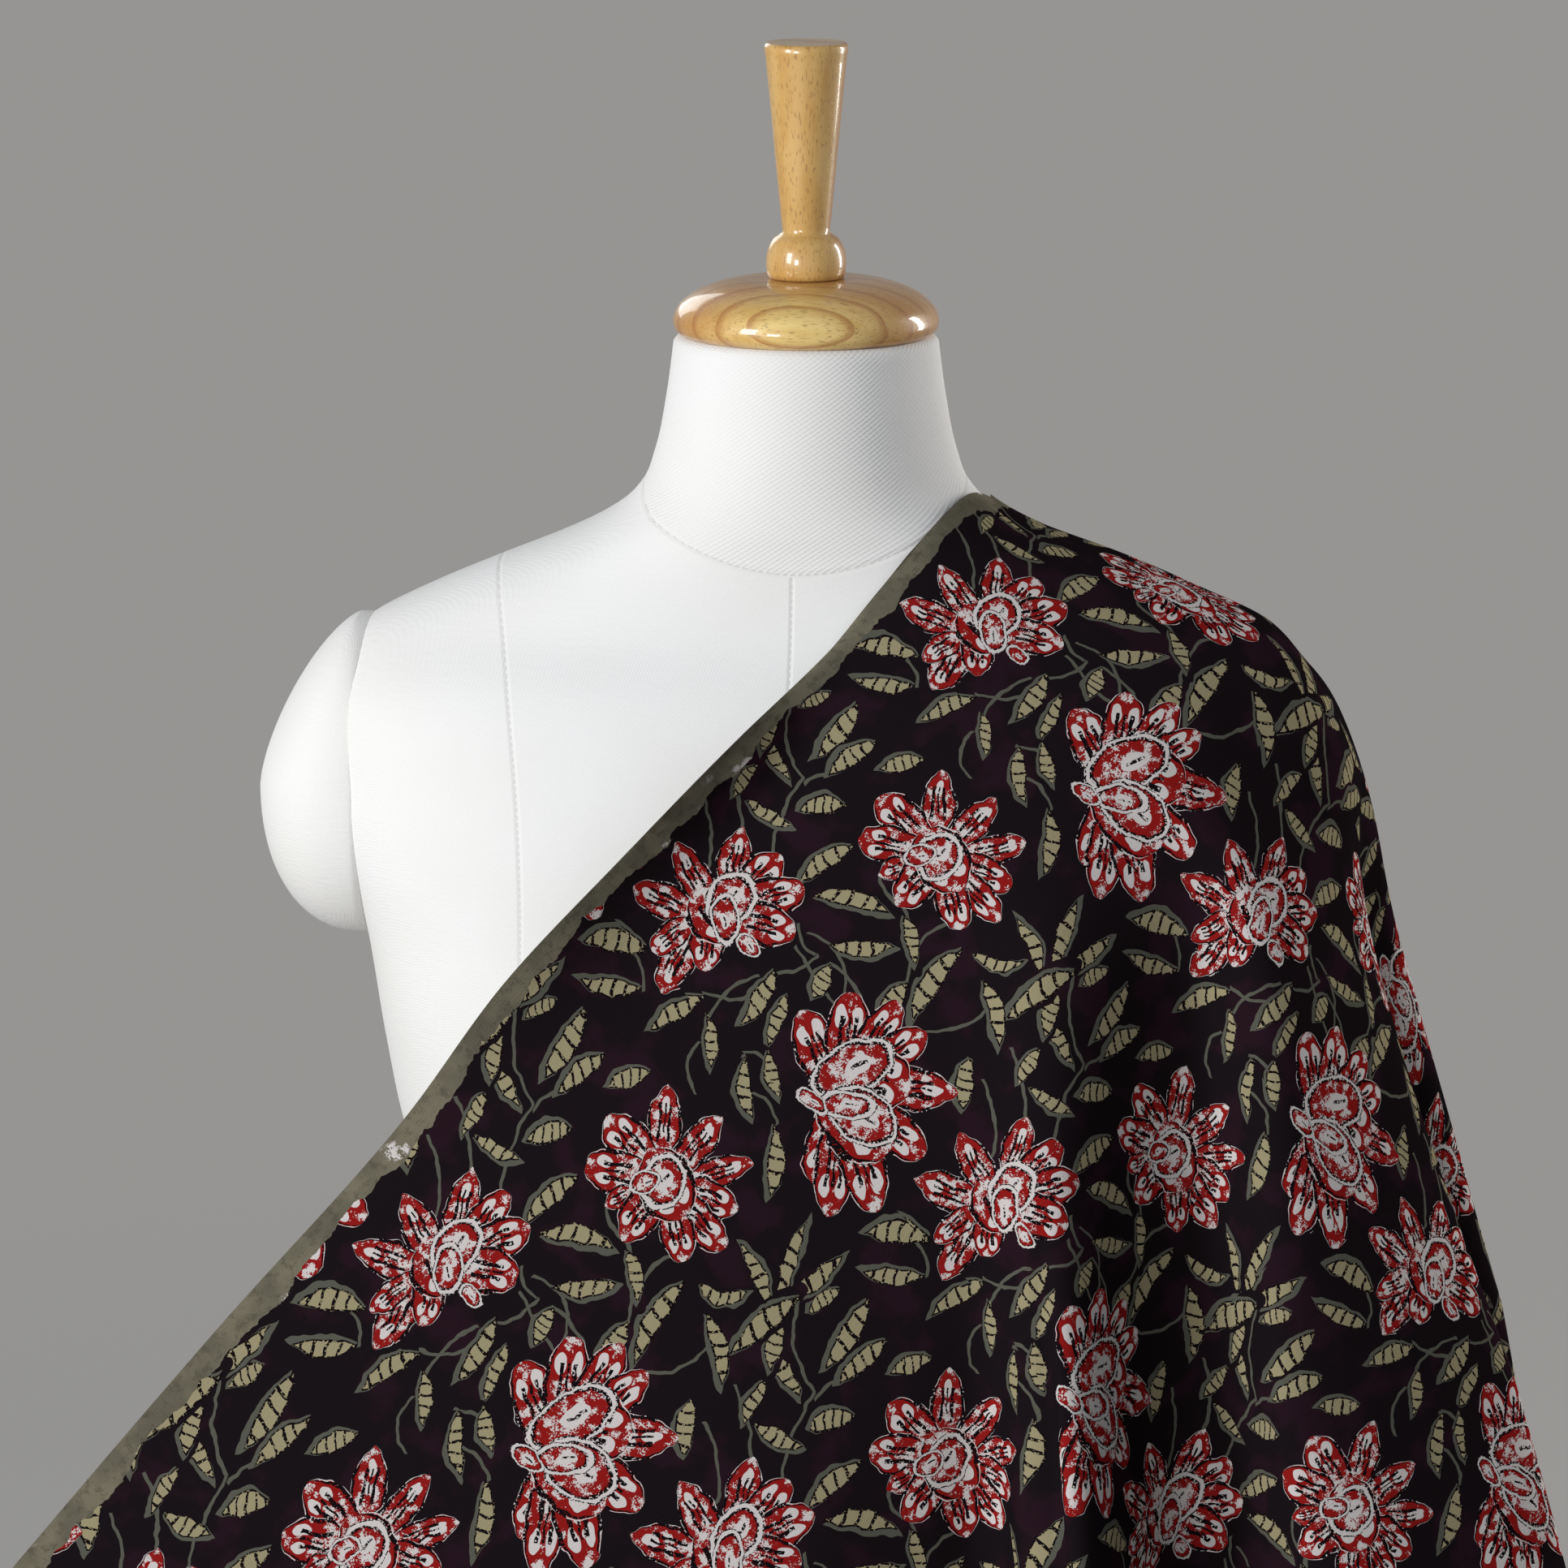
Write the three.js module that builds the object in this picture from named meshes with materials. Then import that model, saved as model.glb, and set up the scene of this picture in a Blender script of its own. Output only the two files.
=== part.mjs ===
// Block-printed cotton fabric draped over one shoulder of a cloth-covered dress form.
// Millimetres, +Z up. The form faces -Y and the cloth hangs from its shoulder on the +X side.
// The origin is the middle of the form's flat base, on the surface that it stands on.
import * as THREE from "three";
import { LoftGeometry } from "three/addons/geometries/LoftGeometry.js";

const CLOTH_THICKNESS = 2;
const CLOTH_CLEARANCE = 5; // from the form to the middle of the cloth
const MESH_GAP = 0.3;
const ARMHOLE_X = 195;
const NECK_TOP = 747.1;
const BUST = { x: 80, height: 410, depth: 16, spreadX: 46, spreadZ: 58 };
// An arm stump: the height of its middle, how far it reaches, and how round it is (as in TORSO).
const ARM = { height: 548, above: 75, below: 66, out: 44.5, depth: 54, roundness: 2.2, topRoundness: 1.4 };

// Horizontal sections of the torso: a superellipse with a front and a back depth.
// height, half width, front depth, back depth, roundness (2 is an ellipse, more is squarer)
const TORSO = [
  [0, 172, 112, 122, 2.2],
  [60, 178, 115, 128, 2.2],
  [140, 160, 112, 112, 2.1],
  [249, 126, 98, 88, 2.1],
  [320, 142, 108, 98, 2.2],
  [400, 176, 126, 108, 2.4],
  [440, 184, 122, 108, 2.5],
  [485, 191, 112, 108, 2.7],
  [549, 205, 98, 104, 3.0],
  [600, 205, 80, 88, 2.8],
  [622.5, 190, 66, 70, 2.3],
  [635.5, 165, 62, 65, 2.2],
  [648, 136, 60, 62, 2.1],
  [660, 104, 60, 60, 2.1],
  [674.5, 76, 61, 58, 2.1],
  [697, 64.5, 61, 58, 2.0],
  [721, 60, 60, 58, 2.0],
  [NECK_TOP, 57, 57, 57, 2.0],
];

// Turned wood: radius, height.
const CAP_PROFILE = [
  [0, 747.6],
  [54, 747.6],
  [56.4, 749.4],
  [57.6, 753],
  [56.2, 758.2],
  [50.7, 763.8],
  [42.6, 767.9],
  [32, 770.7],
  [16, 771.7],
  [0, 771.8],
];
const FINIAL_PROFILE = [
  [0, 772.1],
  [16.4, 772.1],
  [17.3, 776],
  [17.3, 780.5],
  [16.1, 785.5],
  [13.4, 789.6],
  [10.3, 791.6],
  [10.4, 793],
  [18.1, 872.4],
  [17.9, 873.1],
  [17.3, 873.4],
  [0, 873.4],
];

// The cloth is described by the lines that run down it, in order from the front selvedge round to the
// back one. Columns of the mesh are counted from the front selvedge.
// For each line: its column, how far its hem lies out on the surface, then x and y at each height of
// HEIGHTS. A place inside the form means that the cloth lies on the form there.
const HEIGHTS = [590, 540, 490, 430, 340, 236, 0];
const LINES = {
  front_selvedge: [0, 70, [-21, -110], [-70, -124], [-117, -134], [-161, -142], [-240, -152], [-328, -164], [-516, -170]],
  left_panel: [5, 60, [5, -80], [-34, -90], [-62, -110], [-88, -143], [-125, -151], [-165, -162], [-235, -172]],
  centre_front: [10, 45, [35, -70], [14, -80], [5, -105], [-4, -141], [-12, -150], [-18, -160], [-20, -178]],
  soft_valley: [15, 18, [65, -60], [68, -70], [76, -90], [82, -132], [85, -139], [86, -141], [82, -158]],
  front_ridge: [19, 12, [88, -62], [108, -102], [118, -126], [120, -144], [124, -161], [131, -182], [136, -227]],
  deep_valley: [23, 4, [118, -60], [158, -70], [168, -80], [172, -88], [173, -97], [175, -106], [176, -130]],
  right_plane: [28, 10, [152, -50], [190, -82], [202, -100], [208, -114], [214, -129], [228, -144], [256, -170]],
  side_ridge: [34, 10, [219, -28], [236, -28], [249, -28], [270, -38], [301, -58], [332, -80], [384, -112]],
  side_valley: [39, 4, [228, 8], [238, 12], [238, 12], [236, 6], [232, -4], [226, -8], [220, -14]],
  rear_ridge: [44, 10, [224, 32], [246, 36], [260, 38], [280, 42], [302, 48], [322, 56], [356, 72]],
  back_valley: [50, 6, [150, 70], [162, 84], [176, 92], [186, 98], [192, 100], [196, 104], [200, 112]],
  back_ridge: [56, 12, [112, 70], [116, 90], [124, 112], [132, 122], [142, 134], [150, 148], [158, 172]],
  back_selvedge: [63, 22, [74, 70], [74, 90], [74, 112], [75, 118], [75, 122], [75, 128], [75, 140]],
};
const COLUMNS = 63;
const CREST_COLUMNS = { neck: 15, arm: 39 }; // between these the front and the back meet along the shoulder
const CREST_X = { neck: 80, arm: 200 };
const CORE = { x: 185, height: 590 }; // a line inside the shoulder, from which the cloth is spread over it
const SHOULDER_ANGLES = [35, 65]; // degrees from straight up, seen along the shoulder
const SHOULDER_BEND = 1.4; // how late a line swings sideways as it comes over the shoulder
const SHOULDER_LIFT = 4; // how far the cloth stands off the middle of the shoulder's crest
const LENGTH_PER_DEGREE = 1.3;
const HANG_LENGTH = 707; // cloth from the crest of the shoulder down to the surface
const HEM_RADIUS = 9;
const HEM_EDGE = 0.6; // how far the cloth's cut edge stands out past its two faces
const HEM_TOP = HANG_LENGTH - HEM_RADIUS - CLOTH_THICKNESS / 2;
const ROWS = [
  0, 14, 28, 42, 56, 70, 86, 102, 118, 136, 154, 174, 194, 216, 240, 266, 294, 324, 356, 392, 430, 472, 518,
  566, 614, 660, HEM_TOP, HEM_TOP + 0.5, HEM_TOP + 1, HEM_TOP + 2,
];

const clamp = THREE.MathUtils.clamp;
const lerp = THREE.MathUtils.lerp;

// Reads a table at any key: a smooth curve through its rows, whose first number is the key.
function smooth(rows, key) {
  const next = rows.findIndex((row) => row[0] > key);
  const i = next < 0 ? rows.length - 2 : Math.max(next - 1, 0);
  const [before, from, to, after] = [i - 1, i, i + 1, i + 2].map((k) => rows[clamp(k, 0, rows.length - 1)]);
  const span = to[0] - from[0];
  const t = (key - from[0]) / span;
  return from.slice(1).map((start, k) => {
    const slope = (to[k + 1] - start) / span;
    const slopeIn = before === from ? slope : (start - before[k + 1]) / (from[0] - before[0]);
    const slopeOut = after === to ? slope : (after[k + 1] - to[k + 1]) / (after[0] - to[0]);
    const weightIn = span / (span + (before === from ? span : from[0] - before[0]));
    const weightOut = span / (span + (after === to ? span : after[0] - to[0]));
    const startSlope = lerp(slope, slopeIn, weightIn) * span;
    const endSlope = lerp(slope, slopeOut, weightOut) * span;
    const rise = to[k + 1] - start;
    return start + t * startSlope + t * t * (3 * rise - 2 * startSlope - endSlope) +
      t * t * t * (startSlope + endSlope - 2 * rise);
  });
}

// How far a rounded outline reaches at a part of its half length: 1 in the middle, 0 at its ends.
function reach(part, roundness) {
  return Math.pow(Math.max(1 - Math.pow(Math.abs(part), roundness), 0), 1 / roundness);
}

function bust(x, z) {
  const across = (Math.abs(x) - BUST.x) / BUST.spreadX;
  const up = (z - BUST.height) / BUST.spreadZ;
  return BUST.depth * Math.exp(-across * across - up * up);
}

function armSize(z, grow) {
  const upper = z > ARM.height;
  const part = (z - ARM.height) / ((upper ? ARM.above : ARM.below) + grow);
  return {
    out: (ARM.out + grow) * reach(part, upper ? ARM.topRoundness : ARM.roundness),
    depth: (ARM.depth + grow) * reach(part, ARM.roundness),
  };
}

// True where a point is inside the torso or an arm, both grown sideways by a clearance.
function insideGrown([x, y, z], grow) {
  const [halfWidth, front, back, roundness] = smooth(TORSO, z);
  const side = reach(x / (halfWidth + grow), roundness);
  const inTorso = Math.abs(x) < Math.min(halfWidth, ARMHOLE_X) + grow && side > 0 &&
    y > -side * (front + grow) - bust(x, z) && y < side * (back + grow);
  const arm = armSize(z, grow);
  const inArm = Math.abs(x) > CORE.x && arm.out > 0 &&
    Math.hypot(Math.max(Math.abs(x) - ARMHOLE_X, 0) / arm.out, y / arm.depth) < 1;
  return inTorso || inArm;
}

// True where a point of the cloth is too close to the form: beside it, or above its shoulder.
function insideForm([x, y, z]) {
  const onShoulder = z > CORE.height;
  const lower = Math.max(z - 0.8 * CLOTH_CLEARANCE, CORE.height);
  return insideGrown([x, y, z], CLOTH_CLEARANCE) ||
    (onShoulder && insideGrown([x, y, lower], 0.6 * CLOTH_CLEARANCE));
}

// The place where a ray from inside the form comes out of it, with the cloth's clearance.
function comeOut(core, direction) {
  let [inside, outside] = [0, 400];
  for (let step = 0; step < 26; step++) {
    const middle = (inside + outside) / 2;
    if (insideForm(core.map((c, k) => c + direction[k] * middle))) inside = middle;
    else outside = middle;
  }
  return core.map((c, k) => c + direction[k] * outside);
}

// Moves a point of the cloth that is inside the form out to where the cloth lies on it.
function keepClear(point) {
  if (!insideForm(point)) return point;
  const core = [clamp(point[0], -CORE.x, CORE.x), 0, Math.min(point[2], CORE.height)];
  const way = point.map((p, k) => p - core[k]);
  const length = Math.hypot(...way);
  return comeOut(core, way.map((w) => w / length));
}

const lineList = Object.values(LINES);
const atHeights = HEIGHTS.map((height, level) =>
  lineList.map(([column, , ...places]) => [column, ...keepClear([...places[level], height])]));
const hemOut = lineList.map(([column, out]) => [column, out]);

// One column of the cloth, from the crest of the shoulder down to the surface.
function columnKnots(column) {
  const { neck, arm } = CREST_COLUMNS;
  const alongCrest = clamp((arm - neck - Math.abs(column - arm)) / (arm - neck), 0, 1);
  const crestX = lerp(CREST_X.neck, CREST_X.arm, alongCrest);
  const below = keepClear(smooth(atHeights[0], column));
  const coreX = Math.min(below[0], CORE.x);
  const angleRound = Math.atan2(below[1], below[0] - coreX);
  const overShoulder = [0, ...SHOULDER_ANGLES].map((angle) => {
    const lean = THREE.MathUtils.degToRad(angle);
    const x = lerp(crestX, coreX, Math.pow(angle / 90, SHOULDER_BEND));
    const level = Math.sin(lean);
    const direction = [level * Math.cos(angleRound), level * Math.sin(angleRound), Math.cos(lean)];
    const point = comeOut([x, 0, CORE.height], direction);
    point[2] += SHOULDER_LIFT * Math.pow(Math.sin(alongCrest * Math.PI), 0.6) * Math.pow(Math.cos(lean), 2);
    return [angle * LENGTH_PER_DEGREE, ...point];
  });
  const hanging = HEIGHTS.map((height, level) => [HANG_LENGTH - height, ...smooth(atHeights[level], column)]);
  return [...overShoulder, ...hanging];
}

// A point of the cloth's middle surface. Beyond HEM_TOP the cloth turns out onto the surface (the first
// unit) and then lies on it (the second unit).
function clothPoint(column, length) {
  const point = keepClear(smooth(columnKnots(column), Math.min(length, HEM_TOP)));
  if (length <= HEM_TOP) return point;
  const beside = [-0.05, 0.05].map((d) => smooth(columnKnots(clamp(column + d, 0, COLUMNS)), HEM_TOP));
  const along = [beside[1][0] - beside[0][0], beside[1][1] - beside[0][1]];
  const size = Math.hypot(...along);
  const turn = (Math.min(length - HEM_TOP, 1) * Math.PI) / 2;
  const out = HEM_RADIUS * (1 - Math.cos(turn)) + Math.max(length - HEM_TOP - 1, 0) * smooth(hemOut, column)[0];
  return [
    point[0] + (along[1] / size) * out,
    point[1] - (along[0] / size) * out,
    CLOTH_THICKNESS / 2 + HEM_RADIUS * (1 - Math.sin(turn)),
  ];
}

function clothNormal(column, length) {
  const { neck, arm } = CREST_COLUMNS;
  if (length === 0) {
    const near = Math.max(arm - Math.abs(column - arm), neck);
    return clothNormal(near, 1).add(clothNormal(2 * arm - near, 1)).normalize();
  }
  const point = (c, l) => new THREE.Vector3(...clothPoint(clamp(c, 0, COLUMNS), l));
  const across = point(column + 0.1, length).sub(point(column - 0.1, length));
  const step = length > HEM_TOP ? 0.02 : 0.5;
  const down = point(column, length + step).sub(point(column, length - step));
  return down.cross(across).normalize();
}

// The cloth as a thin closed solid: each row is a ring that runs along its inner side and back along its
// outer side.
function clothGeometry() {
  const columns = Array.from({ length: COLUMNS + 1 }, (_, column) => column);
  const sections = ROWS.map((length) => {
    const middle = columns.map((column) => new THREE.Vector3(...clothPoint(column, length)));
    const normals = columns.map((column) => clothNormal(column, length));
    const side = (sign) => middle.map((point, column) => {
      const moved = point.clone().addScaledVector(normals[column], (sign * CLOTH_THICKNESS) / 2);
      return moved.setZ(Math.max(moved.z, 0));
    });
    return [...side(-1), ...side(1).reverse()];
  });
  const [beforeHem, hem] = sections.slice(-2);
  const edge = hem.map((point, k) => {
    const middle = point.clone().add(hem[hem.length - 1 - k]).multiplyScalar(0.5);
    const outward = middle.clone().sub(beforeHem[k]).setZ(0).normalize();
    return middle.addScaledVector(outward, HEM_EDGE).setZ(0);
  });
  return new LoftGeometry([...sections, edge]);
}

function torsoGeometry() {
  const around = 48;
  const heights = TORSO.flatMap(([height], i) =>
    i === 0 ? [height] : [(height + TORSO[i - 1][0]) / 2, height]);
  const sections = heights.map((z) => {
    const [halfWidth, front, back, roundness] = smooth(TORSO, z);
    return Array.from({ length: around }, (_, i) => {
      const angle = (i / around) * 2 * Math.PI;
      const x = halfWidth * Math.sign(Math.cos(angle)) * Math.pow(Math.abs(Math.cos(angle)), 2 / roundness);
      const side = reach(x / halfWidth, roundness);
      const y = Math.sin(angle) > 0 ? side * back : -side * front - bust(x, z);
      return new THREE.Vector3(clamp(x, -ARMHOLE_X, ARMHOLE_X), y, z);
    });
  });
  return new LoftGeometry(sections, { capStart: true, capEnd: true });
}

// A padded arm stump, flat where it meets the torso and rounded outwards. side is 1 on +X and -1 on -X.
function armGeometry(side) {
  const [rows, around] = [14, 14];
  const sections = Array.from({ length: rows + 1 }, (_, row) => {
    const part = -Math.cos((row / rows) * Math.PI);
    const z = ARM.height + part * (part > 0 ? ARM.above : ARM.below);
    const size = armSize(z, 0);
    return Array.from({ length: around + 1 }, (_, i) => {
      const angle = (i / around - 0.5) * Math.PI;
      const out = ARMHOLE_X + MESH_GAP + size.out * Math.cos(angle);
      return new THREE.Vector3(side * out, side * size.depth * Math.sin(angle), z);
    });
  });
  return new LoftGeometry(sections);
}

function turned(profile, around) {
  const points = profile.map(([radius, height]) => new THREE.Vector2(radius, height));
  return new THREE.LatheGeometry(points, around).rotateX(Math.PI / 2);
}

const canvas = new THREE.MeshStandardMaterial({ color: 0xe4e2de, roughness: 0.9 });
const varnished_wood = new THREE.MeshStandardMaterial({ color: 0xb98a4e, roughness: 0.3 });
const printed_cotton = new THREE.MeshStandardMaterial({ color: 0x1c161b, roughness: 0.85 });

const part = new THREE.Group();
function add(name, geometry, material) {
  const mesh = new THREE.Mesh(geometry, material);
  mesh.name = name;
  part.add(mesh);
}
add("torso", torsoGeometry(), canvas);
add("arm_left", armGeometry(-1), canvas);
add("arm_right", armGeometry(1), canvas);
add("neck_cap", turned(CAP_PROFILE, 36), varnished_wood);
add("finial", turned(FINIAL_PROFILE, 24), varnished_wood);
add("printed_cloth", clothGeometry(), printed_cotton);

export default part;
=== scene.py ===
# %% [markdown]
# # Block-printed cotton on a dress form
#
# A length of black cotton, block-printed with red flowers and khaki leaves, is thrown over one shoulder
# of a padded dress form. The form wears a tight cover of off-white twill and ends in a turned wooden cap
# with a handle. This script dresses the fixed model of the form and the cloth with fine surfaces and
# finishes. All lengths are in metres, +Z is up, the form faces -Y and stands on z = 0.

import math

import bmesh
import bpy
import numpy as np
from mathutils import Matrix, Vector


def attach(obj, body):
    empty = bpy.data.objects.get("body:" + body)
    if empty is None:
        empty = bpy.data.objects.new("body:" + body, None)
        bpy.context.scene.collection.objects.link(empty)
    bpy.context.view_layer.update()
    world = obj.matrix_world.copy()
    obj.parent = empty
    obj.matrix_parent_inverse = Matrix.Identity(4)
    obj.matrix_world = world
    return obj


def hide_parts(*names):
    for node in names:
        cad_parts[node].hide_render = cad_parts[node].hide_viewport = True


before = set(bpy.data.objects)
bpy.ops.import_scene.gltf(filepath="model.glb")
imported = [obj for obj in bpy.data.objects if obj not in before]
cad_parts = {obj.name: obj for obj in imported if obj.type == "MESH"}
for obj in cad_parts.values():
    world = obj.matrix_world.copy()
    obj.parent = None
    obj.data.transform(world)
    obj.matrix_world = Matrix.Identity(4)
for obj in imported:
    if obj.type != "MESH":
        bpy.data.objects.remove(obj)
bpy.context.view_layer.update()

# %% [markdown]
# ## The camera
#
# A long lens from three and a half metres away keeps the form in its true proportions. The camera
# stands a little to the right of the form's middle and looks slightly down, so the top of the wooden cap
# just shows. A point behind the camera, seen from the target, is all that the two angles describe, so
# the camera is placed with them and then turned to look back along the same line.

# %% Camera
CAMERA_AZIMUTH = math.radians(4)
CAMERA_ELEVATION = math.radians(11)
CAMERA_DISTANCE = 3.5
CAMERA_TARGET = Vector((-0.0096, 0, 0.549))
SENSOR_WIDTH, FOCAL_LENGTH = 36, 183.9  # in millimetres, as a lens is marked

camera_data = bpy.data.cameras.new("camera")
camera_data.sensor_width = SENSOR_WIDTH
camera_data.lens = FOCAL_LENGTH
camera = bpy.data.objects.new("camera", camera_data)
bpy.context.scene.collection.objects.link(camera)
bpy.context.scene.camera = camera
backwards = Vector((
    math.sin(CAMERA_AZIMUTH) * math.cos(CAMERA_ELEVATION),
    -math.cos(CAMERA_AZIMUTH) * math.cos(CAMERA_ELEVATION),
    math.sin(CAMERA_ELEVATION),
))
camera.location = CAMERA_TARGET + backwards * CAMERA_DISTANCE
camera.rotation_euler = backwards.to_track_quat("Z", "Y").to_euler()
print("camera at", [round(value, 2) for value in camera.location])

# %% [markdown]
# ## Helpers for shapes
#
# Most of this object is made of smooth surfaces that a short table describes: the form's sections, the
# wood's profile and the lines down the cloth. One helper reads a smooth curve through the rows of a
# table. Another starts from a grid of quads and moves every corner of it to a place that a formula
# gives, which keeps the mesh even and its faces four-sided.

# %% Curves through tables
def read_curve(rows, keys):
    """A smooth curve through the rows of a table, whose first number is the key, read at many keys."""
    table = np.asarray(rows, float)
    at, values = table[:, 0], table[:, 1:]
    span = np.diff(at)[:, None]
    slope = np.diff(values, axis=0) / span
    inner = (slope[:-1] * span[1:] + slope[1:] * span[:-1]) / (span[:-1] + span[1:])
    steep = np.vstack([slope[:1], inner, slope[-1:]])
    i = np.clip(np.searchsorted(at, keys, side="right") - 1, 0, len(at) - 2)
    t = (np.asarray(keys, float) - at[i])[:, None] / span[i]
    start, end = steep[i] * span[i], steep[i + 1] * span[i]
    rise = values[i + 1] - values[i]
    return values[i] + t * start + t**2 * (3 * rise - 2 * start - end) + t**3 * (start + end - 2 * rise)


def finer(at, rows, keys):
    """Rows of any shape, each known at one place in at, read along a smooth curve at many keys."""
    values = read_curve(np.column_stack([at, rows.reshape(len(rows), -1)]), keys)
    return values.reshape(len(keys), *rows.shape[1:])


def mix(start, end, part):
    """The value at a part of the way from start to end."""
    return start + (end - start) * part


def unit(vectors):
    """Vectors made one long. A vector without a length stays as it is."""
    return vectors / np.maximum(np.linalg.norm(vectors, axis=-1, keepdims=True), 1e-9)


# %% Surfaces from a grid
def bent_grid(name, across, down, place, merge=1e-5):
    """A grid of quads, bent: place gets arrays of u and v from 0 to 1 and gives the points."""
    mesh = bmesh.new()
    mesh.loops.layers.uv.new("grid")
    bmesh.ops.create_grid(mesh, x_segments=across, y_segments=down, size=0.5, calc_uvs=True)
    flat = np.array([corner.co[:2] for corner in mesh.verts]) + 0.5
    for corner, point in zip(mesh.verts, place(flat[:, 0].round(6), flat[:, 1].round(6))):
        corner.co = point
    bmesh.ops.remove_doubles(mesh, verts=mesh.verts, dist=merge)
    bmesh.ops.dissolve_degenerate(mesh, edges=mesh.edges, dist=merge)
    return finished(name, mesh)


def finished(name, mesh):
    """Turns a bmesh into a smooth-shaded object in the scene."""
    data = bpy.data.meshes.new(name)
    mesh.to_mesh(data)
    mesh.free()
    data.polygons.foreach_set("use_smooth", [True] * len(data.polygons))
    piece = bpy.data.objects.new(name, data)
    bpy.context.scene.collection.objects.link(piece)
    print(f"{name}: {len(data.polygons)} faces")
    return piece


# %% [markdown]
# ## The padded form
#
# The torso is a padded shell under a stretched cover, so every level cut through it is a soft, rounded
# outline. A superellipse with its own front and back depth describes such a cut with four numbers, and a
# table of them from the base to the neck gives the whole body. Two soft swellings make the bust. The
# arms are short rounded stumps that are sewn against the flat armholes.

# %% Sizes of the form
ARMHOLE_X = 0.195
NECK_TOP = 0.7471
BUST = dict(x=0.080, height=0.410, depth=0.016, spread_x=0.046, spread_z=0.058)
ARM = dict(
    height=0.548, above=0.075, below=0.066, out=0.0445, inside=0.012, depth=0.054,
    roundness=2.2, top_roundness=1.4,
)
TORSO_QUADS, ARM_QUADS = (192, 240), (72, 48)  # round a piece and up it
CLOSING = 0.03  # the part of the grid, at each end of the torso, that closes on the axis
# height, half width, front depth, back depth (in millimetres, as a tailor writes them), roundness
TORSO_MM = [
    (0, 172, 112, 122, 2.2), (60, 178, 115, 128, 2.2), (140, 160, 112, 112, 2.1),
    (249, 126, 98, 88, 2.1), (320, 142, 108, 98, 2.2), (400, 176, 126, 108, 2.4),
    (440, 184, 122, 108, 2.5), (485, 191, 112, 108, 2.7), (549, 205, 98, 104, 3.0),
    (600, 205, 80, 88, 2.8), (622.5, 190, 66, 70, 2.3), (635.5, 165, 62, 65, 2.2),
    (648, 136, 60, 62, 2.1), (660, 106, 60, 60, 2.1), (667, 91, 61, 59, 2.1), (675, 78.5, 61, 58, 2.1),
    (684, 70.5, 61, 58, 2.05), (697, 65.5, 61, 58, 2.0), (721, 60.5, 60, 58, 2.0), (747.1, 57, 57, 57, 2.0),
]
TORSO = np.array(TORSO_MM) * (0.001, 0.001, 0.001, 0.001, 1)
print("torso sections:", len(TORSO), "from", TORSO[0][0], "to", TORSO[-1][0])


# %% The form's outlines
def reach(part, roundness):
    """How far a rounded outline reaches at a part of its half length: 1 in the middle, 0 at its ends."""
    return np.maximum(1 - np.abs(part) ** roundness, 0) ** (1 / roundness)


def bust(x, z):
    """How far the two swellings of the bust stand out of the torso's front."""
    across = (np.abs(x) - BUST["x"]) / BUST["spread_x"]
    up = (z - BUST["height"]) / BUST["spread_z"]
    return BUST["depth"] * np.exp(-(across**2) - up**2)


def arm_size(z, grow):
    """How far an arm stump reaches out and to the front at a height, grown by a clearance."""
    upper = z > ARM["height"]
    part = (z - ARM["height"]) / (np.where(upper, ARM["above"], ARM["below"]) + grow)
    out = (ARM["out"] + grow) * reach(part, np.where(upper, ARM["top_roundness"], ARM["roundness"]))
    return out, (ARM["depth"] + grow) * reach(part, ARM["roundness"])


def torso_surface(u, v):
    """u runs round the torso and v up it. The ends close on the axis."""
    up = np.clip((v - CLOSING) / (1 - 2 * CLOSING), 0, 1)
    z = NECK_TOP * up
    half, front, back, roundness = read_curve(TORSO, z).T
    angle = 2 * math.pi * u
    cosine = np.cos(angle).round(9)
    x = half * np.sign(cosine) * np.abs(cosine) ** (2 / roundness)
    side = reach(x / half, roundness)
    y = np.where(np.sin(angle) > 0, side * back, -side * front - bust(x, z))
    inwards = np.clip(np.minimum(v, 1 - v) / CLOSING, 0, 1)
    return np.stack([np.clip(x, -ARMHOLE_X, ARMHOLE_X) * inwards, y * inwards, z], axis=1)


torso = bent_grid("torso_cover", *TORSO_QUADS, torso_surface)


# %% Arm stumps
def arm_surface(side):
    """u runs round the front, the outside and the back of a stump, and v up it."""
    def place(u, v):
        part = -np.cos(v * math.pi)
        z = ARM["height"] + part * np.where(part > 0, ARM["above"], ARM["below"])
        out, depth = arm_size(z, 0)
        angle = 2 * math.pi * u
        outwards = np.cos(angle)
        x = ARMHOLE_X + np.where(outwards > 0, out, ARM["inside"]) * outwards
        return np.stack([side * x, side * depth * np.sin(angle), z], axis=1)
    return place


arms = {
    "arm_left": bent_grid("arm_cover_left", *ARM_QUADS, arm_surface(-1)),
    "arm_right": bent_grid("arm_cover_right", *ARM_QUADS, arm_surface(1)),
}

# %% [markdown]
# ## The turned wood
#
# The cap and the handle were turned on a lathe, so each is its profile spun round the axis. The profile
# is a short list of points with a smooth curve through them, and the spin operator does the rest.

# %% Turned wood
# radius and height in millimetres, from the axis below to the axis above
CAP_MM = [
    (0, 747.6), (54, 747.6), (56.4, 749.4), (57.6, 753), (56.2, 758.2), (50.7, 763.8), (42.6, 767.9),
    (32, 770.7), (16, 771.7), (0, 771.8),
]
FINIAL_MM = [
    (0, 772.1), (16.4, 772.1), (17.3, 776), (17.3, 780.5), (16.1, 785.5), (13.4, 789.6), (10.3, 791.6),
    (10.4, 793), (10.7, 796), (12.3, 812), (14.2, 832), (16.1, 852), (17.6, 867), (18.1, 872.4),
    (17.9, 873.1), (17.3, 873.4), (16.4, 873.4), (0, 873.4),
]
PROFILE_STEPS, LATHE_STEPS = 48, 96  # along a profile's curve and round the axis


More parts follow.
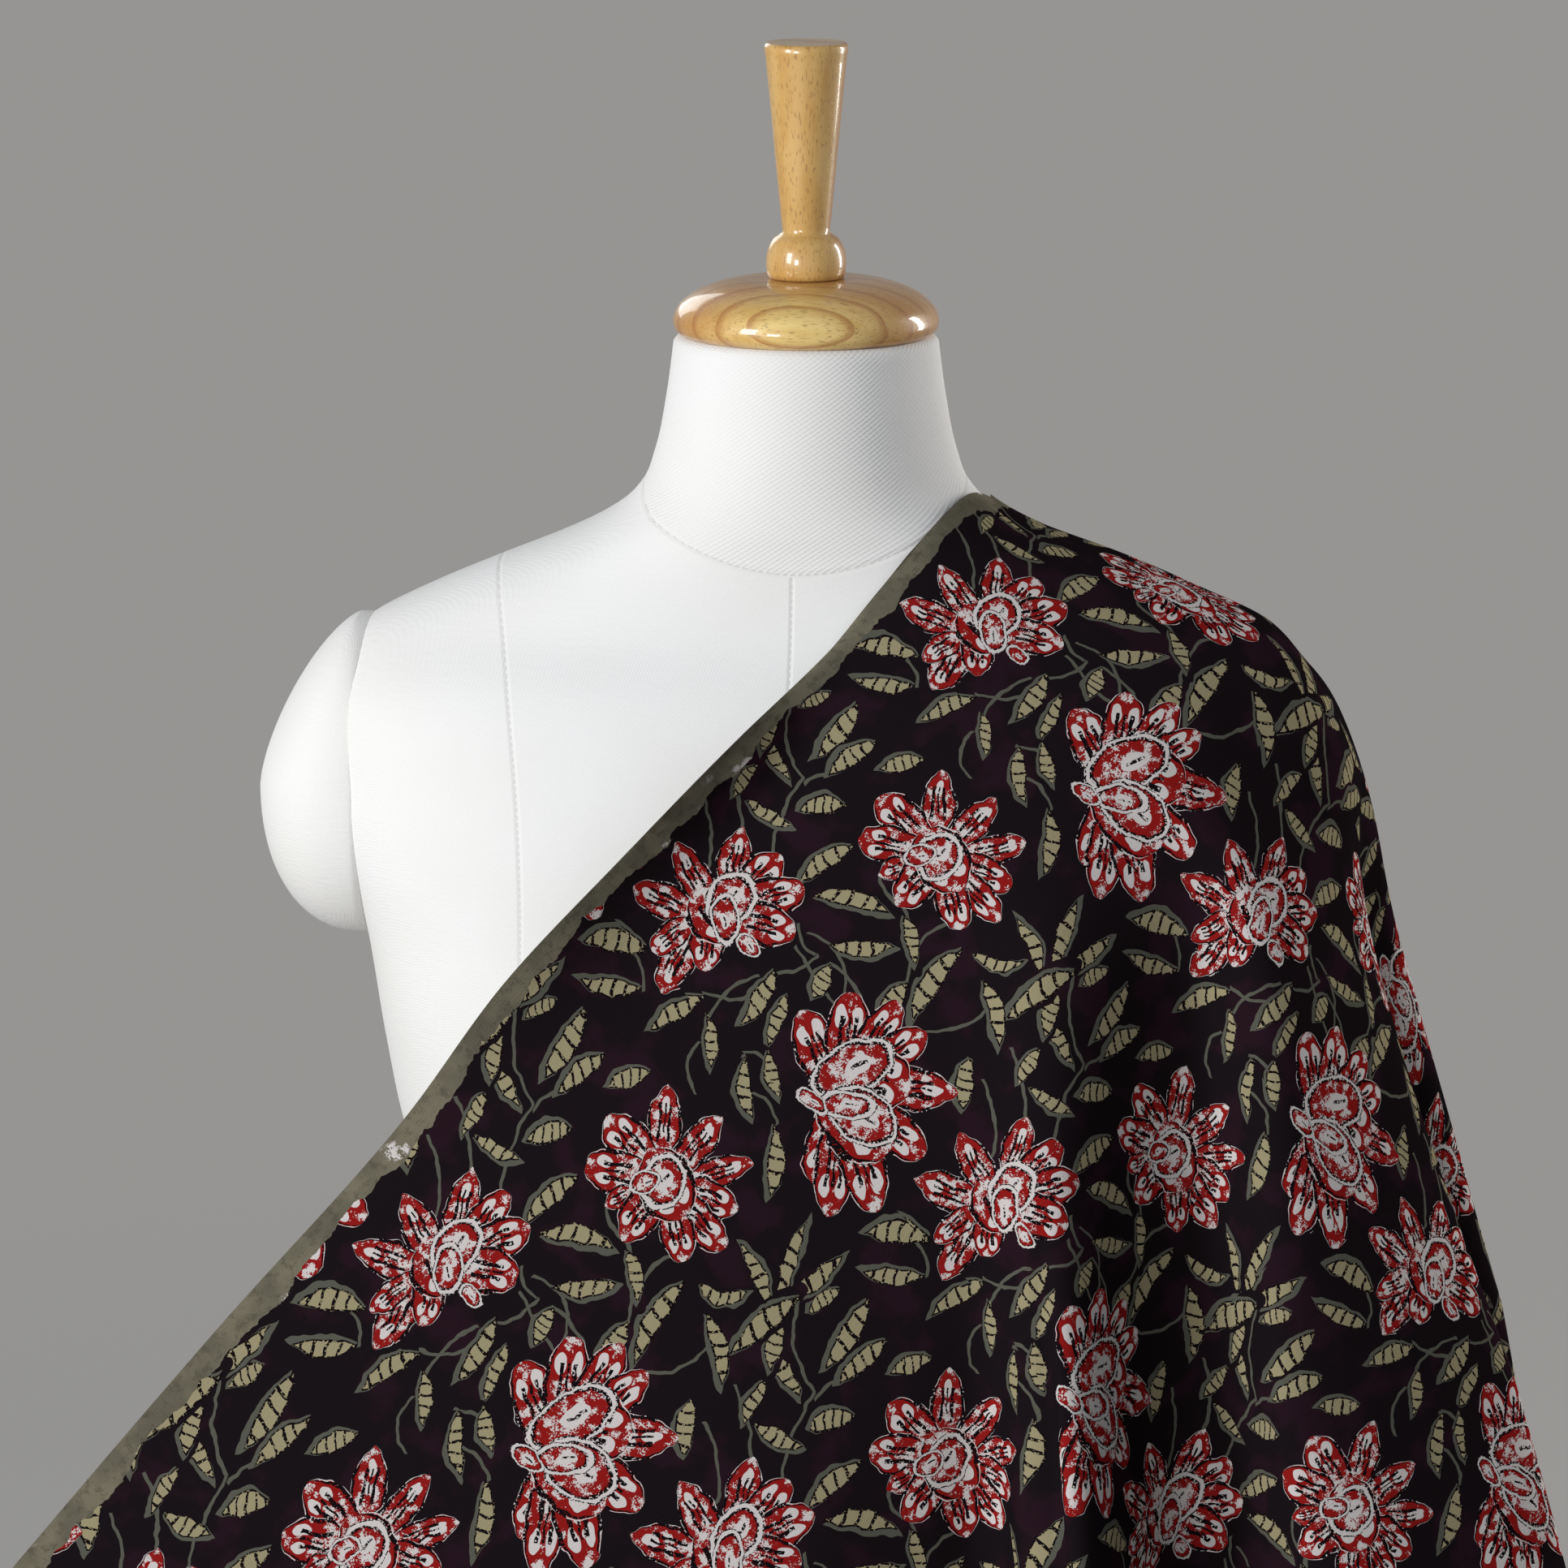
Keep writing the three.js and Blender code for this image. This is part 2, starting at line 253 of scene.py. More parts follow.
def turned(name, profile_mm, sharp_from, sharp_to):
    """Spins a profile. The rows from sharp_from to sharp_to are joined by a smooth curve."""
    profile = np.array(profile_mm) / 1000
    middle = profile[sharp_from:sharp_to + 1]
    along = np.concatenate([[0], np.cumsum(np.hypot(*np.diff(middle, axis=0).T))])
    fine = read_curve(np.column_stack([along, middle]), np.linspace(0, along[-1], PROFILE_STEPS))
    points = np.vstack([profile[:sharp_from], fine, profile[sharp_to + 1:]])
    mesh = bmesh.new()
    line = [mesh.verts.new((radius, 0, height)) for radius, height in points]
    edges = [mesh.edges.new(pair) for pair in zip(line, line[1:])]
    bmesh.ops.spin(
        mesh, geom=line + edges, cent=(0, 0, 0), axis=(0, 0, 1), angle=2 * math.pi, steps=LATHE_STEPS,
        use_merge=True,
    )
    bmesh.ops.remove_doubles(mesh, verts=mesh.verts, dist=1e-6)
    bmesh.ops.recalc_face_normals(mesh, faces=mesh.faces)
    return finished(name, mesh)


cap = turned("wooden_cap", CAP_MM, 1, 9)
finial = turned("wooden_handle", FINIAL_MM, 1, 15)

# %% [markdown]
# ## The cloth's shape
#
# The cloth hangs from the crest of the shoulder. It is described by the lines that run down it: soft
# ridges and troughs, from the front selvedge round the arm side to the back one. Each line has its x and
# y at seven heights, and how far its hem lies out on the surface. A smooth curve through the lines and
# another down them make one fine sheet. Where a line would run through the padding, the sheet lies on it.
#
# A cloth simulation could find such a drape by itself, but it wouldn't put the folds where they are on
# this one, so the main folds are given in the table and only small creases are added to them.

# %% The lines down the cloth
HEIGHTS_MM = [590, 540, 490, 430, 340, 236, 0]
# column, hem length out on the surface, then (x, y) at each height, in millimetres
LINES_MM = {
    "front_selvedge": (
        0, 70, (-21, -110), (-70, -124), (-117, -134), (-161, -142),
        (-240, -152), (-328, -164), (-516, -170),
    ),
    "left_panel": (
        5, 60, (5, -80), (-34, -90), (-62, -110), (-88, -143), (-125, -151), (-165, -162), (-235, -172),
    ),
    "centre_front": (
        10, 45, (35, -70), (14, -80), (5, -105), (-4, -141), (-12, -150), (-18, -160), (-20, -178),
    ),
    "soft_valley": (
        15, 18, (65, -60), (68, -70), (76, -90), (82, -132), (85, -139), (86, -141), (82, -158),
    ),
    "front_ridge": (
        19, 12, (88, -62), (108, -102), (118, -126), (120, -144), (124, -161), (131, -182), (136, -227),
    ),
    "deep_valley": (
        23, 4, (118, -60), (158, -70), (168, -80), (172, -88), (173, -97), (175, -106), (176, -130),
    ),
    "right_plane": (
        28, 10, (152, -50), (190, -82), (202, -100), (208, -114), (214, -129), (228, -144), (256, -170),
    ),
    "side_ridge": (
        34, 10, (219, -28), (236, -28), (249, -28), (270, -38), (301, -58), (332, -80), (384, -112),
    ),
    "side_valley": (
        39, 4, (228, 8), (238, 12), (238, 12), (236, 6), (232, -4), (226, -8), (220, -14),
    ),
    "rear_ridge": (
        44, 10, (224, 32), (246, 36), (260, 38), (280, 42), (302, 48), (322, 56), (356, 72),
    ),
    "back_valley": (
        50, 6, (150, 70), (162, 84), (176, 92), (186, 98), (192, 100), (196, 104), (200, 112),
    ),
    "back_ridge": (
        56, 12, (112, 70), (116, 90), (124, 112), (132, 122), (142, 134), (150, 148), (158, 172),
    ),
    "back_selvedge": (
        63, 22, (74, 70), (74, 90), (74, 112), (75, 118), (75, 122), (75, 128), (75, 140),
    ),
}
COLUMNS = 63
COLUMN_STEPS = 4  # quads for each column
CREST = dict(neck=15, arm=39, neck_x=0.080, arm_x=0.200)
CORE_X, CORE_HEIGHT = 0.185, 0.590  # a line inside the shoulder, from which the cloth is spread over it
SHOULDER_ANGLES = [0, 35, 65]  # degrees from straight up, seen along the shoulder
SHOULDER_BEND = 1.4
SHOULDER_LIFT, LIFT_FULLNESS = 0.004, 0.6  # how far the crest stands off, and how soon from its ends
LENGTH_PER_DEGREE = 0.0013
CLEARANCE = 0.0025  # from the padding to the cloth, sideways
SHOULDER_CLEARANCE = (0.6 * CLEARANCE, 0.8 * CLEARANCE)  # on top of the shoulder, sideways and down
RAY_LENGTH, RAY_HALVINGS = 0.4, 22  # for finding where a ray comes out of the form
HANG_LENGTH = 0.707  # from the crest of the shoulder to the surface below
HEM_RADIUS = 0.009
HEM_TOP = HANG_LENGTH - HEM_RADIUS - 0.001
HEM_LIFT = 0.0006
print("lines down the cloth:", ", ".join(LINES_MM))


# %% Keeping the cloth clear of the form
def inside_grown(points, grow):
    """Which points are inside the torso or an arm, both grown sideways by a clearance."""
    x, y, z = points.T
    half, front, back, roundness = read_curve(TORSO, z).T
    side = reach(x / (half + grow), roundness)
    in_torso = (np.abs(x) < np.minimum(half, ARMHOLE_X) + grow) & (side > 0)
    in_torso &= (y > -side * (front + grow) - bust(x, z)) & (y < side * (back + grow))
    out, depth = arm_size(z, grow)
    beyond = np.maximum(np.abs(x) - ARMHOLE_X, 0) / np.maximum(out, 1e-9)
    in_arm = (np.abs(x) > CORE_X) & (out > 0) & (np.hypot(beyond, y / np.maximum(depth, 1e-9)) < 1)
    return in_torso | in_arm


def inside_form(points):
    """Which points of the cloth are too close to the form: beside it, or above its shoulder."""
    lower = points.copy()
    lower[:, 2] = np.maximum(points[:, 2] - SHOULDER_CLEARANCE[1], CORE_HEIGHT)
    above = (points[:, 2] > CORE_HEIGHT) & inside_grown(lower, SHOULDER_CLEARANCE[0])
    return inside_grown(points, CLEARANCE) | above


def come_out(core, way):
    """Where rays from inside the form come out of it, with the cloth's clearance."""
    near, far = np.zeros(len(core)), np.full(len(core), RAY_LENGTH)
    for _ in range(RAY_HALVINGS):
        middle = (near + far) / 2
        hidden = inside_form(core + way * middle[:, None])
        near, far = np.where(hidden, middle, near), np.where(hidden, far, middle)
    return core + way * far[:, None]


def keep_clear(points):
    """Moves the points that are inside the form out to where the cloth lies on it."""
    shape = points.shape
    points = points.reshape(-1, 3).copy()
    hidden = inside_form(points)
    core = points[hidden].copy()
    core[:, 0] = np.clip(core[:, 0], -CORE_X, CORE_X)
    core[:, 1] = 0
    core[:, 2] = np.minimum(core[:, 2], CORE_HEIGHT)
    points[hidden] = come_out(core, unit(points[hidden] - core))
    return points.reshape(shape)


# %% The cloth's middle lines, column by column
def column_knots(columns):
    """For every column, the lengths down it at which its place is known, and those places."""
    levels = []
    for level, height in enumerate(HEIGHTS_MM):
        places = np.array([[*line[2 + level], height] for line in LINES_MM.values()]) / 1000
        starts = [line[0] for line in LINES_MM.values()]
        levels.append(read_curve(np.column_stack([starts, keep_clear(places)]), columns))
    below = keep_clear(levels[0])
    reach_arm = CREST["arm"] - CREST["neck"]
    along = np.clip((reach_arm - np.abs(columns - CREST["arm"])) / reach_arm, 0, 1)
    crest_x = mix(CREST["neck_x"], CREST["arm_x"], along)
    core_x = np.minimum(below[:, 0], CORE_X)
    turn = np.arctan2(below[:, 1], below[:, 0] - core_x)
    lengths, places = [], []
    for degrees in SHOULDER_ANGLES:
        lean = math.radians(degrees)
        x = mix(crest_x, core_x, (degrees / 90) ** SHOULDER_BEND)
        core = np.stack([x, x * 0, x * 0 + CORE_HEIGHT], axis=1)
        level = math.sin(lean)
        way = np.stack([level * np.cos(turn), level * np.sin(turn), turn * 0 + math.cos(lean)], axis=1)
        point = come_out(core, way)
        arch = np.sin(along * math.pi).clip(0) ** LIFT_FULLNESS
        point[:, 2] += SHOULDER_LIFT * arch * math.cos(lean) ** 2
        lengths.append(degrees * LENGTH_PER_DEGREE)
        places.append(point)
    lengths += [HANG_LENGTH - height / 1000 for height in HEIGHTS_MM]
    return np.array(lengths), np.array(places + levels)


columns = np.arange(COLUMNS * COLUMN_STEPS + 1) / COLUMN_STEPS
knot_lengths, knots = column_knots(columns)
print("columns:", len(columns), " knots down each:", len(knot_lengths))


# %% The whole sheet
def sheet_points(lengths, turned_out, lying_out):
    """The sheet's points, as rows of columns. turned_out and lying_out are how far each row has turned
    out at the hem and how far it lies out on the surface, as parts of the whole."""
    points = keep_clear(finer(knot_lengths, knots, lengths))
    along = unit(np.gradient(points[:, :, :2], axis=1))
    outwards = np.stack([along[:, :, 1], -along[:, :, 0]], axis=2)
    hem = read_curve([line[:2] for line in LINES_MM.values()], columns)[:, 0] / 1000
    turn = np.asarray(turned_out)[:, None] * math.pi / 2
    out = HEM_RADIUS * (1 - np.cos(turn)) + np.asarray(lying_out)[:, None] * hem
    points[:, :, :2] += outwards * out[:, :, None]
    on_floor = np.asarray(turned_out) > 0
    points[on_floor, :, 2] = HEM_LIFT + HEM_RADIUS * (1 - np.sin(turn[on_floor]))
    return points


HANGING_ROWS, TURNING_ROWS, LYING_ROWS = 290, 8, 14
row_lengths = np.concatenate([
    np.linspace(0, HEM_TOP, HANGING_ROWS + 1), np.full(TURNING_ROWS + LYING_ROWS, HEM_TOP),
])
row_turns = np.concatenate([
    np.zeros(HANGING_ROWS + 1), np.arange(1, TURNING_ROWS + 1) / TURNING_ROWS, np.ones(LYING_ROWS),
])
row_lies = np.concatenate([
    np.zeros(HANGING_ROWS + 1 + TURNING_ROWS), np.arange(1, LYING_ROWS + 1) / LYING_ROWS,
])
sheet = sheet_points(row_lengths, row_turns, row_lies)
print("sheet of", sheet.shape[0], "rows and", sheet.shape[1], "columns")


# %% [markdown]
# The lines alone would make the sheet cling to every bulge of the padding. Real cloth is under tension,
# so it spans the hollows between them. Averaging each corner of the sheet with its neighbours, and
# putting it back outside the form each time, does the same: the sheet tightens like a drum skin where it
# rests on the form and hardly changes where it hangs free.

# %% Tighten the sheet over the form
TIGHTENING_ROUNDS = 70
TIGHT_ABOVE, LOOSE_BELOW = 0.43, 0.30  # heights between which the tightening fades
LEAST_TIGHTENING = 0.06
TIGHTENING_STEP = 0.8  # how far a corner moves to the middle of its neighbours in one round
HEM_ROWS_HELD = 4  # hanging rows above the hem that stay in place


def tightened(points, rounds):
    """Averages the sheet with its neighbours. The selvedges, the neck end and the hem stay in place."""
    points = points.copy()
    rows, count = points.shape[:2]
    mirror = 2 * CREST["arm"] * COLUMN_STEPS - np.arange(count)
    across_crest = (mirror < count) & (mirror >= 0)
    free = np.ones(count, bool)
    free[[0, -1]] = False
    neck = CREST["neck"] * COLUMN_STEPS
    crest_free = free & across_crest & (np.arange(count) > neck)
    for _ in range(rounds):
        above = np.roll(points, 1, axis=0)
        above[0, across_crest] = points[1, mirror[across_crest]]
        below = np.roll(points, -1, axis=0)
        beside = np.roll(points, 1, axis=1) + np.roll(points, -1, axis=1)
        average = (above + below + beside) / 4
        part = (points[:, :, 2] - LOOSE_BELOW) / (TIGHT_ABOVE - LOOSE_BELOW)
        part = np.clip(part, LEAST_TIGHTENING, 1)
        part[0] *= crest_free
        part[1:] *= free
        part[HANGING_ROWS - HEM_ROWS_HELD:] = 0
        points = keep_clear(points + part[:, :, None] * TIGHTENING_STEP * (average - points))
        points[0, across_crest] = (points[0, across_crest] + points[0, mirror[across_crest]]) / 2
    return points


sheet = tightened(sheet, TIGHTENING_ROUNDS)

# %% [markdown]
# The narrow creases come last, so that the tightening doesn't smooth them away. Each one is a soft trough
# or ridge with a bell-shaped cut, along a line from one place on the sheet to another, and it fades in
# and out at its ends.

# %% Creases
# column and height at the top, column and height at the foot (millimetres), half width (columns), depth
CREASES = [
    (14.6, 420, 15.2, 10, 0.85, 8), (16.5, 400, 16.5, 20, 0.60, -4), (17.5, 430, 17.7, 30, 0.42, 8),
    (20.6, 520, 22.4, 20, 1.50, 7), (8.5, 300, 9.5, 10, 1.30, 4), (11.5, 330, 11.8, 20, 1.20, -4),
    (26.0, 380, 26.5, 20, 1.10, 4), (30.5, 330, 31.5, 10, 1.20, 5), (4.0, 260, 3.0, 10, 1.30, 5),
    (47.0, 420, 47.5, 20, 0.80, 6), (53.0, 400, 53.5, 20, 0.90, 6), (59.0, 350, 59.5, 20, 0.90, 5),
]
FADE_AT_FOOT, FADE_AT_TOP = 0.12, 0.45  # parts of a crease's length


def creased(points):
    """Presses the creases into the sheet, along its own direction outwards."""
    outwards = unit(np.cross(np.gradient(points, axis=0), np.gradient(points, axis=1)))
    depth = np.zeros(points.shape[:2])
    for top_column, top, foot_column, foot, width, deep in CREASES:
        part = (points[:, :, 2] - foot / 1000) / ((top - foot) / 1000)
        middle = mix(foot_column, top_column, part)
        fade = np.clip(np.minimum(part / FADE_AT_FOOT, (1 - part) / FADE_AT_TOP), 0, 1)
        fade = fade * fade * (3 - 2 * fade)
        depth += deep / 1000 * fade * np.exp(-(((columns - middle) / width) ** 2))
    depth[HANGING_ROWS + 1:] = 0
    return keep_clear(points - outwards * depth[:, :, None])


sheet = creased(sheet)
print("creases:", len(CREASES))


# %% [markdown]
# ## Laying the cloth flat
#
# The print was stamped on flat cloth, so the pattern needs to know where each point of the draped sheet
# was when it lay on the printing table. An unwrap finds that, but here it has to keep two facts: the
# selvedge in front is one straight line, and the cloth hardly stretches.
# A short solver does it on a coarse copy of the sheet. It turns every triangle as a rigid piece to where
# it fits best, then moves all the corners to agree with their triangles, and repeats. Points on the
# table are complex numbers: the real part is the distance from the selvedge, the imaginary part is the
# distance along it, and a turn is one multiplication.

# %% A coarse copy of the sheet
ROW_STEP, HEM_ROW_STEP = 9, 6  # fine rows to a coarse one, where the sheet hangs and at its hem
COARSE_ROWS = np.unique([
    *range(0, HANGING_ROWS, ROW_STEP), *range(HANGING_ROWS, len(sheet), HEM_ROW_STEP), len(sheet) - 1,
])
COARSE_COLUMNS = np.arange(0, sheet.shape[1], COLUMN_STEPS)
FLAT_ROUNDS = 80
THINNEST = 1e-5  # a triangle with less height is left out
STIFFNESS_LIMITS = (0.05, 5)  # for the edges of long, thin triangles
coarse = sheet[np.ix_(COARSE_ROWS, COARSE_COLUMNS)]
n_rows, n_columns = coarse.shape[:2]
print("coarse sheet:", n_rows, "by", n_columns)


def shared_corners():
    """The number of each coarse corner. The front and the back share the corners along the crest."""
    corners = np.arange(n_rows * n_columns).reshape(n_rows, n_columns)
    for column in range(n_columns):
        corners[0, column] = corners[0, max(min(column, 2 * CREST["arm"] - column), CREST["neck"])]
    return corners


# %% Rigid triangles
def rigid_triangles(points, corners):
    """The grid's triangles, as corner numbers, and each one laid down by itself, as complex places."""
    a, b = corners[:-1, :-1].ravel(), corners[:-1, 1:].ravel()
    c, d = corners[1:, 1:].ravel(), corners[1:, :-1].ravel()
    halves = [(a, b, c), (a, c, d), (a, b, d), (b, c, d)]  # each quad is cut both ways
    triangles = np.concatenate([np.stack(half, axis=1) for half in halves])
    distinct = (triangles != np.roll(triangles, 1, axis=1)).all(axis=1)
    triangles = triangles[distinct]
    corner = points.reshape(-1, 3)[triangles]
    side, other = corner[:, 1] - corner[:, 0], corner[:, 2] - corner[:, 0]
    length = np.linalg.norm(side, axis=1)
    along = (side * other).sum(axis=1) / length
    height = np.linalg.norm(np.cross(side, other), axis=1) / length
    rigid = np.stack([length * 0, length + 0j, along + 1j * height], axis=1)
    return triangles[height > THINNEST], rigid[height > THINNEST]


# %% Triangles that agree
def laid_flat(points, start, pinned):
    """Places on the printing table for a grid of points, as complex numbers."""
    corners = shared_corners()
    triangles, rigid = rigid_triangles(points, corners)
    double_area = rigid[:, 1].real * rigid[:, 2].imag
    edges = [(0, 1, 2), (1, 2, 0), (2, 0, 1)]
    count = corners.size
    stiff = np.zeros((count, count))
    weights = []
    for i, j, k in edges:
        to_i, to_j = rigid[:, i] - rigid[:, k], rigid[:, j] - rigid[:, k]
        weight = np.clip((to_i * to_j.conj()).real / double_area, *STIFFNESS_LIMITS)
        weights.append(weight)
        for p, q, sign in [(i, i, 1), (j, j, 1), (i, j, -1), (j, i, -1)]:
            np.add.at(stiff, (triangles[:, p], triangles[:, q]), sign * weight)
    free = np.setdiff1d(np.unique(triangles), pinned)
    solve = np.linalg.inv(stiff[np.ix_(free, free)])
    place = start.ravel().copy()
    begins, ends = triangles.T.ravel(), np.roll(triangles, -1, axis=1).T.ravel()
    both = np.concatenate([ends, begins])
    weight = np.stack(weights)
    own = np.stack([rigid[:, j] - rigid[:, i] for i, j, _ in edges])
    for _ in range(FLAT_ROUNDS):
        laid = (place[ends] - place[begins]).reshape(own.shape)
        turn = (weight * laid * own.conj()).sum(axis=0)
        turn /= np.abs(turn) + 1e-12
        moves = (weight * turn * own).ravel()
        moves = np.concatenate([moves, -moves])
        pull = np.bincount(both, moves.real, count) + 1j * np.bincount(both, moves.imag, count)
        place[free] = solve @ (pull[free] - stiff[np.ix_(free, pinned)] @ place[pinned])
    return place[corners]


# %% Lay it flat
coarse_lengths = np.linalg.norm(np.diff(coarse, axis=0), axis=2)
lengths_down = np.vstack([np.zeros(n_columns), np.cumsum(coarse_lengths, axis=0)])
column_numbers = np.arange(n_columns)
crest_out = np.clip(CREST["arm"] - CREST["neck"] - np.abs(column_numbers - CREST["arm"]), 0, None)
crest_out = crest_out / (CREST["arm"] - CREST["neck"]) * (CREST["arm_x"] - CREST["neck_x"])
fan = np.interp(column_numbers, [0, CREST["arm"], COLUMNS], [math.pi / 2, 0, -math.pi / 2])
first_guess = crest_out + lengths_down * np.exp(1j * fan)
corner_numbers = shared_corners()
pinned = np.unique(corner_numbers[:, 0])
flat_coarse = laid_flat(coarse, first_guess, pinned)
print("flat size in metres:", np.round([np.ptp(flat_coarse.real), np.ptp(flat_coarse.imag)], 3))


# %% Build the cloth
def at_corners(table, u, v):
    """The values of a table, with a row for each row of the grid, at the grid's places u and v."""
    row = (v * (table.shape[0] - 1)).round().astype(int)
    column = (u * (table.shape[1] - 1)).round().astype(int)
    return table[row, column]


across, down = sheet.shape[1] - 1, sheet.shape[0] - 1
cloth = bent_grid("printed_cotton", across, down, lambda u, v: at_corners(sheet, u, v), merge=2e-5)
cloth.data.flip_normals()  # so that the front of each face is the side that shows


# %% Write the measured coordinates on the meshes
def written_uv(piece, name, table):
    """Adds a UV map whose values, in metres, come from a table with a row for each row of the grid."""
    mesh = piece.data
    grid = np.zeros(2 * len(mesh.loops))
    mesh.uv_layers["grid"].data.foreach_get("uv", grid)
    layer = mesh.uv_layers.new(name=name)
    layer.data.foreach_set("uv", at_corners(table, *grid.reshape(-1, 2).T).ravel())
    print(f"{piece.name}: {name} runs from", table.min((0, 1)).round(3), "to", table.max((0, 1)).round(3))


# every point of the sheet on the printing table, in metres from the front selvedge and along it
flat_parts = np.stack([flat_coarse.real, flat_coarse.imag], axis=2)
flat_sheet = finer(COARSE_ROWS, flat_parts, np.arange(sheet.shape[0])).transpose(1, 0, 2)
flat_sheet = finer(COARSE_COLUMNS, flat_sheet, np.arange(sheet.shape[1])).transpose(1, 0, 2)
written_uv(cloth, "flat_cloth", flat_sheet)

# the printer set the blocks by eye: the rows lean, and the blocks are closer at the start of the cloth
BLOCK_WIDTH, BLOCK_LENGTH = 0.176, 0.186
ROW_LEAN, COLUMN_LEAN = 0.106, 0.024
ACROSS_SPACING, START_SPACING, SPACING_CHANGE = 1.037, 1.187, 0.31
FIRST_BLOCK = (0.0085, -0.1200)
across_flat, along_flat = flat_sheet[:, :, 0], flat_sheet[:, :, 1]
blocks = np.stack([
    FIRST_BLOCK[0] + ACROSS_SPACING * across_flat - COLUMN_LEAN * along_flat,
    FIRST_BLOCK[1] + START_SPACING * along_flat - SPACING_CHANGE * along_flat**2 - ROW_LEAN * across_flat,
], axis=2)
written_uv(cloth, "print_blocks", blocks)

# how far each point is from the front selvedge, and from the back one
FARTHEST_READ = 0.4
from_front = np.cumsum(np.linalg.norm(np.diff(sheet, axis=1, prepend=sheet[:, :1]), axis=2), axis=1)
from_selvedges = np.stack([np.minimum(across_flat, FARTHEST_READ), from_front[:, -1:] - from_front], axis=2)
written_uv(cloth, "selvedges", from_selvedges)

# %% [markdown]
# ## Helpers for materials
#
# Every finish here is made of nodes, so it stays sharp at any distance and needs no image file. A few
# helpers make the nodes and their links short to write: a number, a vector or another node's output can
# go into any socket, and the sums have names that read in words. Colours are written as the 0 to 255
# values that a paint chart gives, and turned into the linear values that the renderer works with.

# %% Node helpers
def feed(tree, socket, value):
    """Puts a value on a socket, or links another node's output to it."""
    if isinstance(value, bpy.types.NodeSocket):
        tree.links.new(value, socket)
    else:
        socket.default_value = value


def number(tree, operation, *values):
    """One Math node."""
    node = tree.nodes.new("ShaderNodeMath")
    node.operation = operation
    for socket, value in zip(node.inputs, values):
        feed(tree, socket, value)
    return node.outputs[0]


def chained(operation):
    """A helper that joins two or more values by one sort of Math node."""
    def join(tree, first, *others):
        for other in others:
            first = number(tree, operation, first, other)
        return first
    return join


def single(operation):
    """A helper that makes one Math node of one sort."""
    return lambda tree, *values: number(tree, operation, *values)


total, product, largest, smallest = map(chained, ("ADD", "MULTIPLY", "MAXIMUM", "MINIMUM"))
less, ratio, times_plus = map(single, ("SUBTRACT", "DIVIDE", "MULTIPLY_ADD"))
is_below, is_above, is_near = map(single, ("LESS_THAN", "GREATER_THAN", "COMPARE"))
unsigned, fraction, sine = map(single, ("ABSOLUTE", "FRACT", "SINE"))


# %% Vectors, colours and noise
def vector(tree, operation, *values):
    """One Vector Math node. The lengths and products come out as a number."""
    node = tree.nodes.new("ShaderNodeVectorMath")
    node.operation = operation
    for socket, value in zip(node.inputs, values):
        feed(tree, socket, value)
    return node.outputs["Value" if operation in {"LENGTH", "DOT_PRODUCT"} else "Vector"]


# a Mix node has two inputs and an output for each kind of value, and only their numbers tell them apart
MIX_SOCKETS = {"RGBA": (6, 7, 2), "VECTOR": (4, 5, 1)}


def blend(tree, part, first, second, kind="RGBA"):
    """Mixes two colours or vectors: the first where the part is 0, the second where it is 1."""
    node = tree.nodes.new("ShaderNodeMix")
    node.data_type = kind
    from_socket, to_socket, result = MIX_SOCKETS[kind]
    feed(tree, node.inputs["Factor"], part)
    feed(tree, node.inputs[from_socket], first)
    feed(tree, node.inputs[to_socket], second)
    return node.outputs[result]


def noise(tree, place, scale, detail=2.0, roughness=0.5, flat=True, output="Fac"):
    node = tree.nodes.new("ShaderNodeTexNoise")
    node.noise_dimensions = "2D" if flat else "3D"
    feed(tree, node.inputs["Vector"], place)
    node.inputs["Scale"].default_value = scale
    node.inputs["Detail"].default_value = detail
    node.inputs["Roughness"].default_value = roughness
    return node.outputs[output]


def ramp(tree, value, low, high, start=0.0, end=1.0):
    """Turns the values from low to high into start to end, with soft ends."""
    node = tree.nodes.new("ShaderNodeMapRange")
    node.interpolation_type = "SMOOTHSTEP"
    for socket, given in zip(node.inputs[:5], (value, low, high, start, end)):
        feed(tree, socket, given)
    return node.outputs[0]


def split(tree, value):
    node = tree.nodes.new("ShaderNodeSeparateXYZ")
    feed(tree, node.inputs[0], value)
    return node.outputs[0], node.outputs[1], node.outputs[2]


def joined(tree, x, y, z):
    node = tree.nodes.new("ShaderNodeCombineXYZ")
    for socket, value in zip(node.inputs, (x, y, z)):
        feed(tree, socket, value)
    return node.outputs[0]


def radius_of(tree, x, y):
    """How far a place is from the middle, from its two coordinates."""
    return vector(tree, "LENGTH", joined(tree, x, y, 0))


def paint(red, green, blue):
    """A colour from its 0 to 255 values."""
    values = np.array([red, green, blue]) / 255
    linear = np.where(values > 0.04045, ((values + 0.055) / 1.055) ** 2.4, values / 12.92)
    return (*linear.tolist(), 1)


def new_group(name, inputs, outputs):
    """A node group. Each input and output is a name and a kind of socket."""
    tree = bpy.data.node_groups.new(name, "ShaderNodeTree")
    for title, kind in inputs:
        tree.interface.new_socket(name=title, in_out="INPUT", socket_type=f"NodeSocket{kind}")
    for title, kind in outputs:
        tree.interface.new_socket(name=title, in_out="OUTPUT", socket_type=f"NodeSocket{kind}")
    start = tree.nodes.new("NodeGroupInput")
    end = tree.nodes.new("NodeGroupOutput")
    return tree, start.outputs, end.inputs


def placed_group(tree, group, **values):
    """Puts a group into a tree. Spaces in its socket names are written as underscores."""
    node = tree.nodes.new("ShaderNodeGroup")
    node.node_tree = group
    for title, value in values.items():
        feed(tree, node.inputs[title.replace("_", " ")], value)
    return node.outputs


def new_material(name):
    material = bpy.data.materials.new(name)
    material.use_nodes = True
    return material, material.node_tree, material.node_tree.nodes["Principled BSDF"]


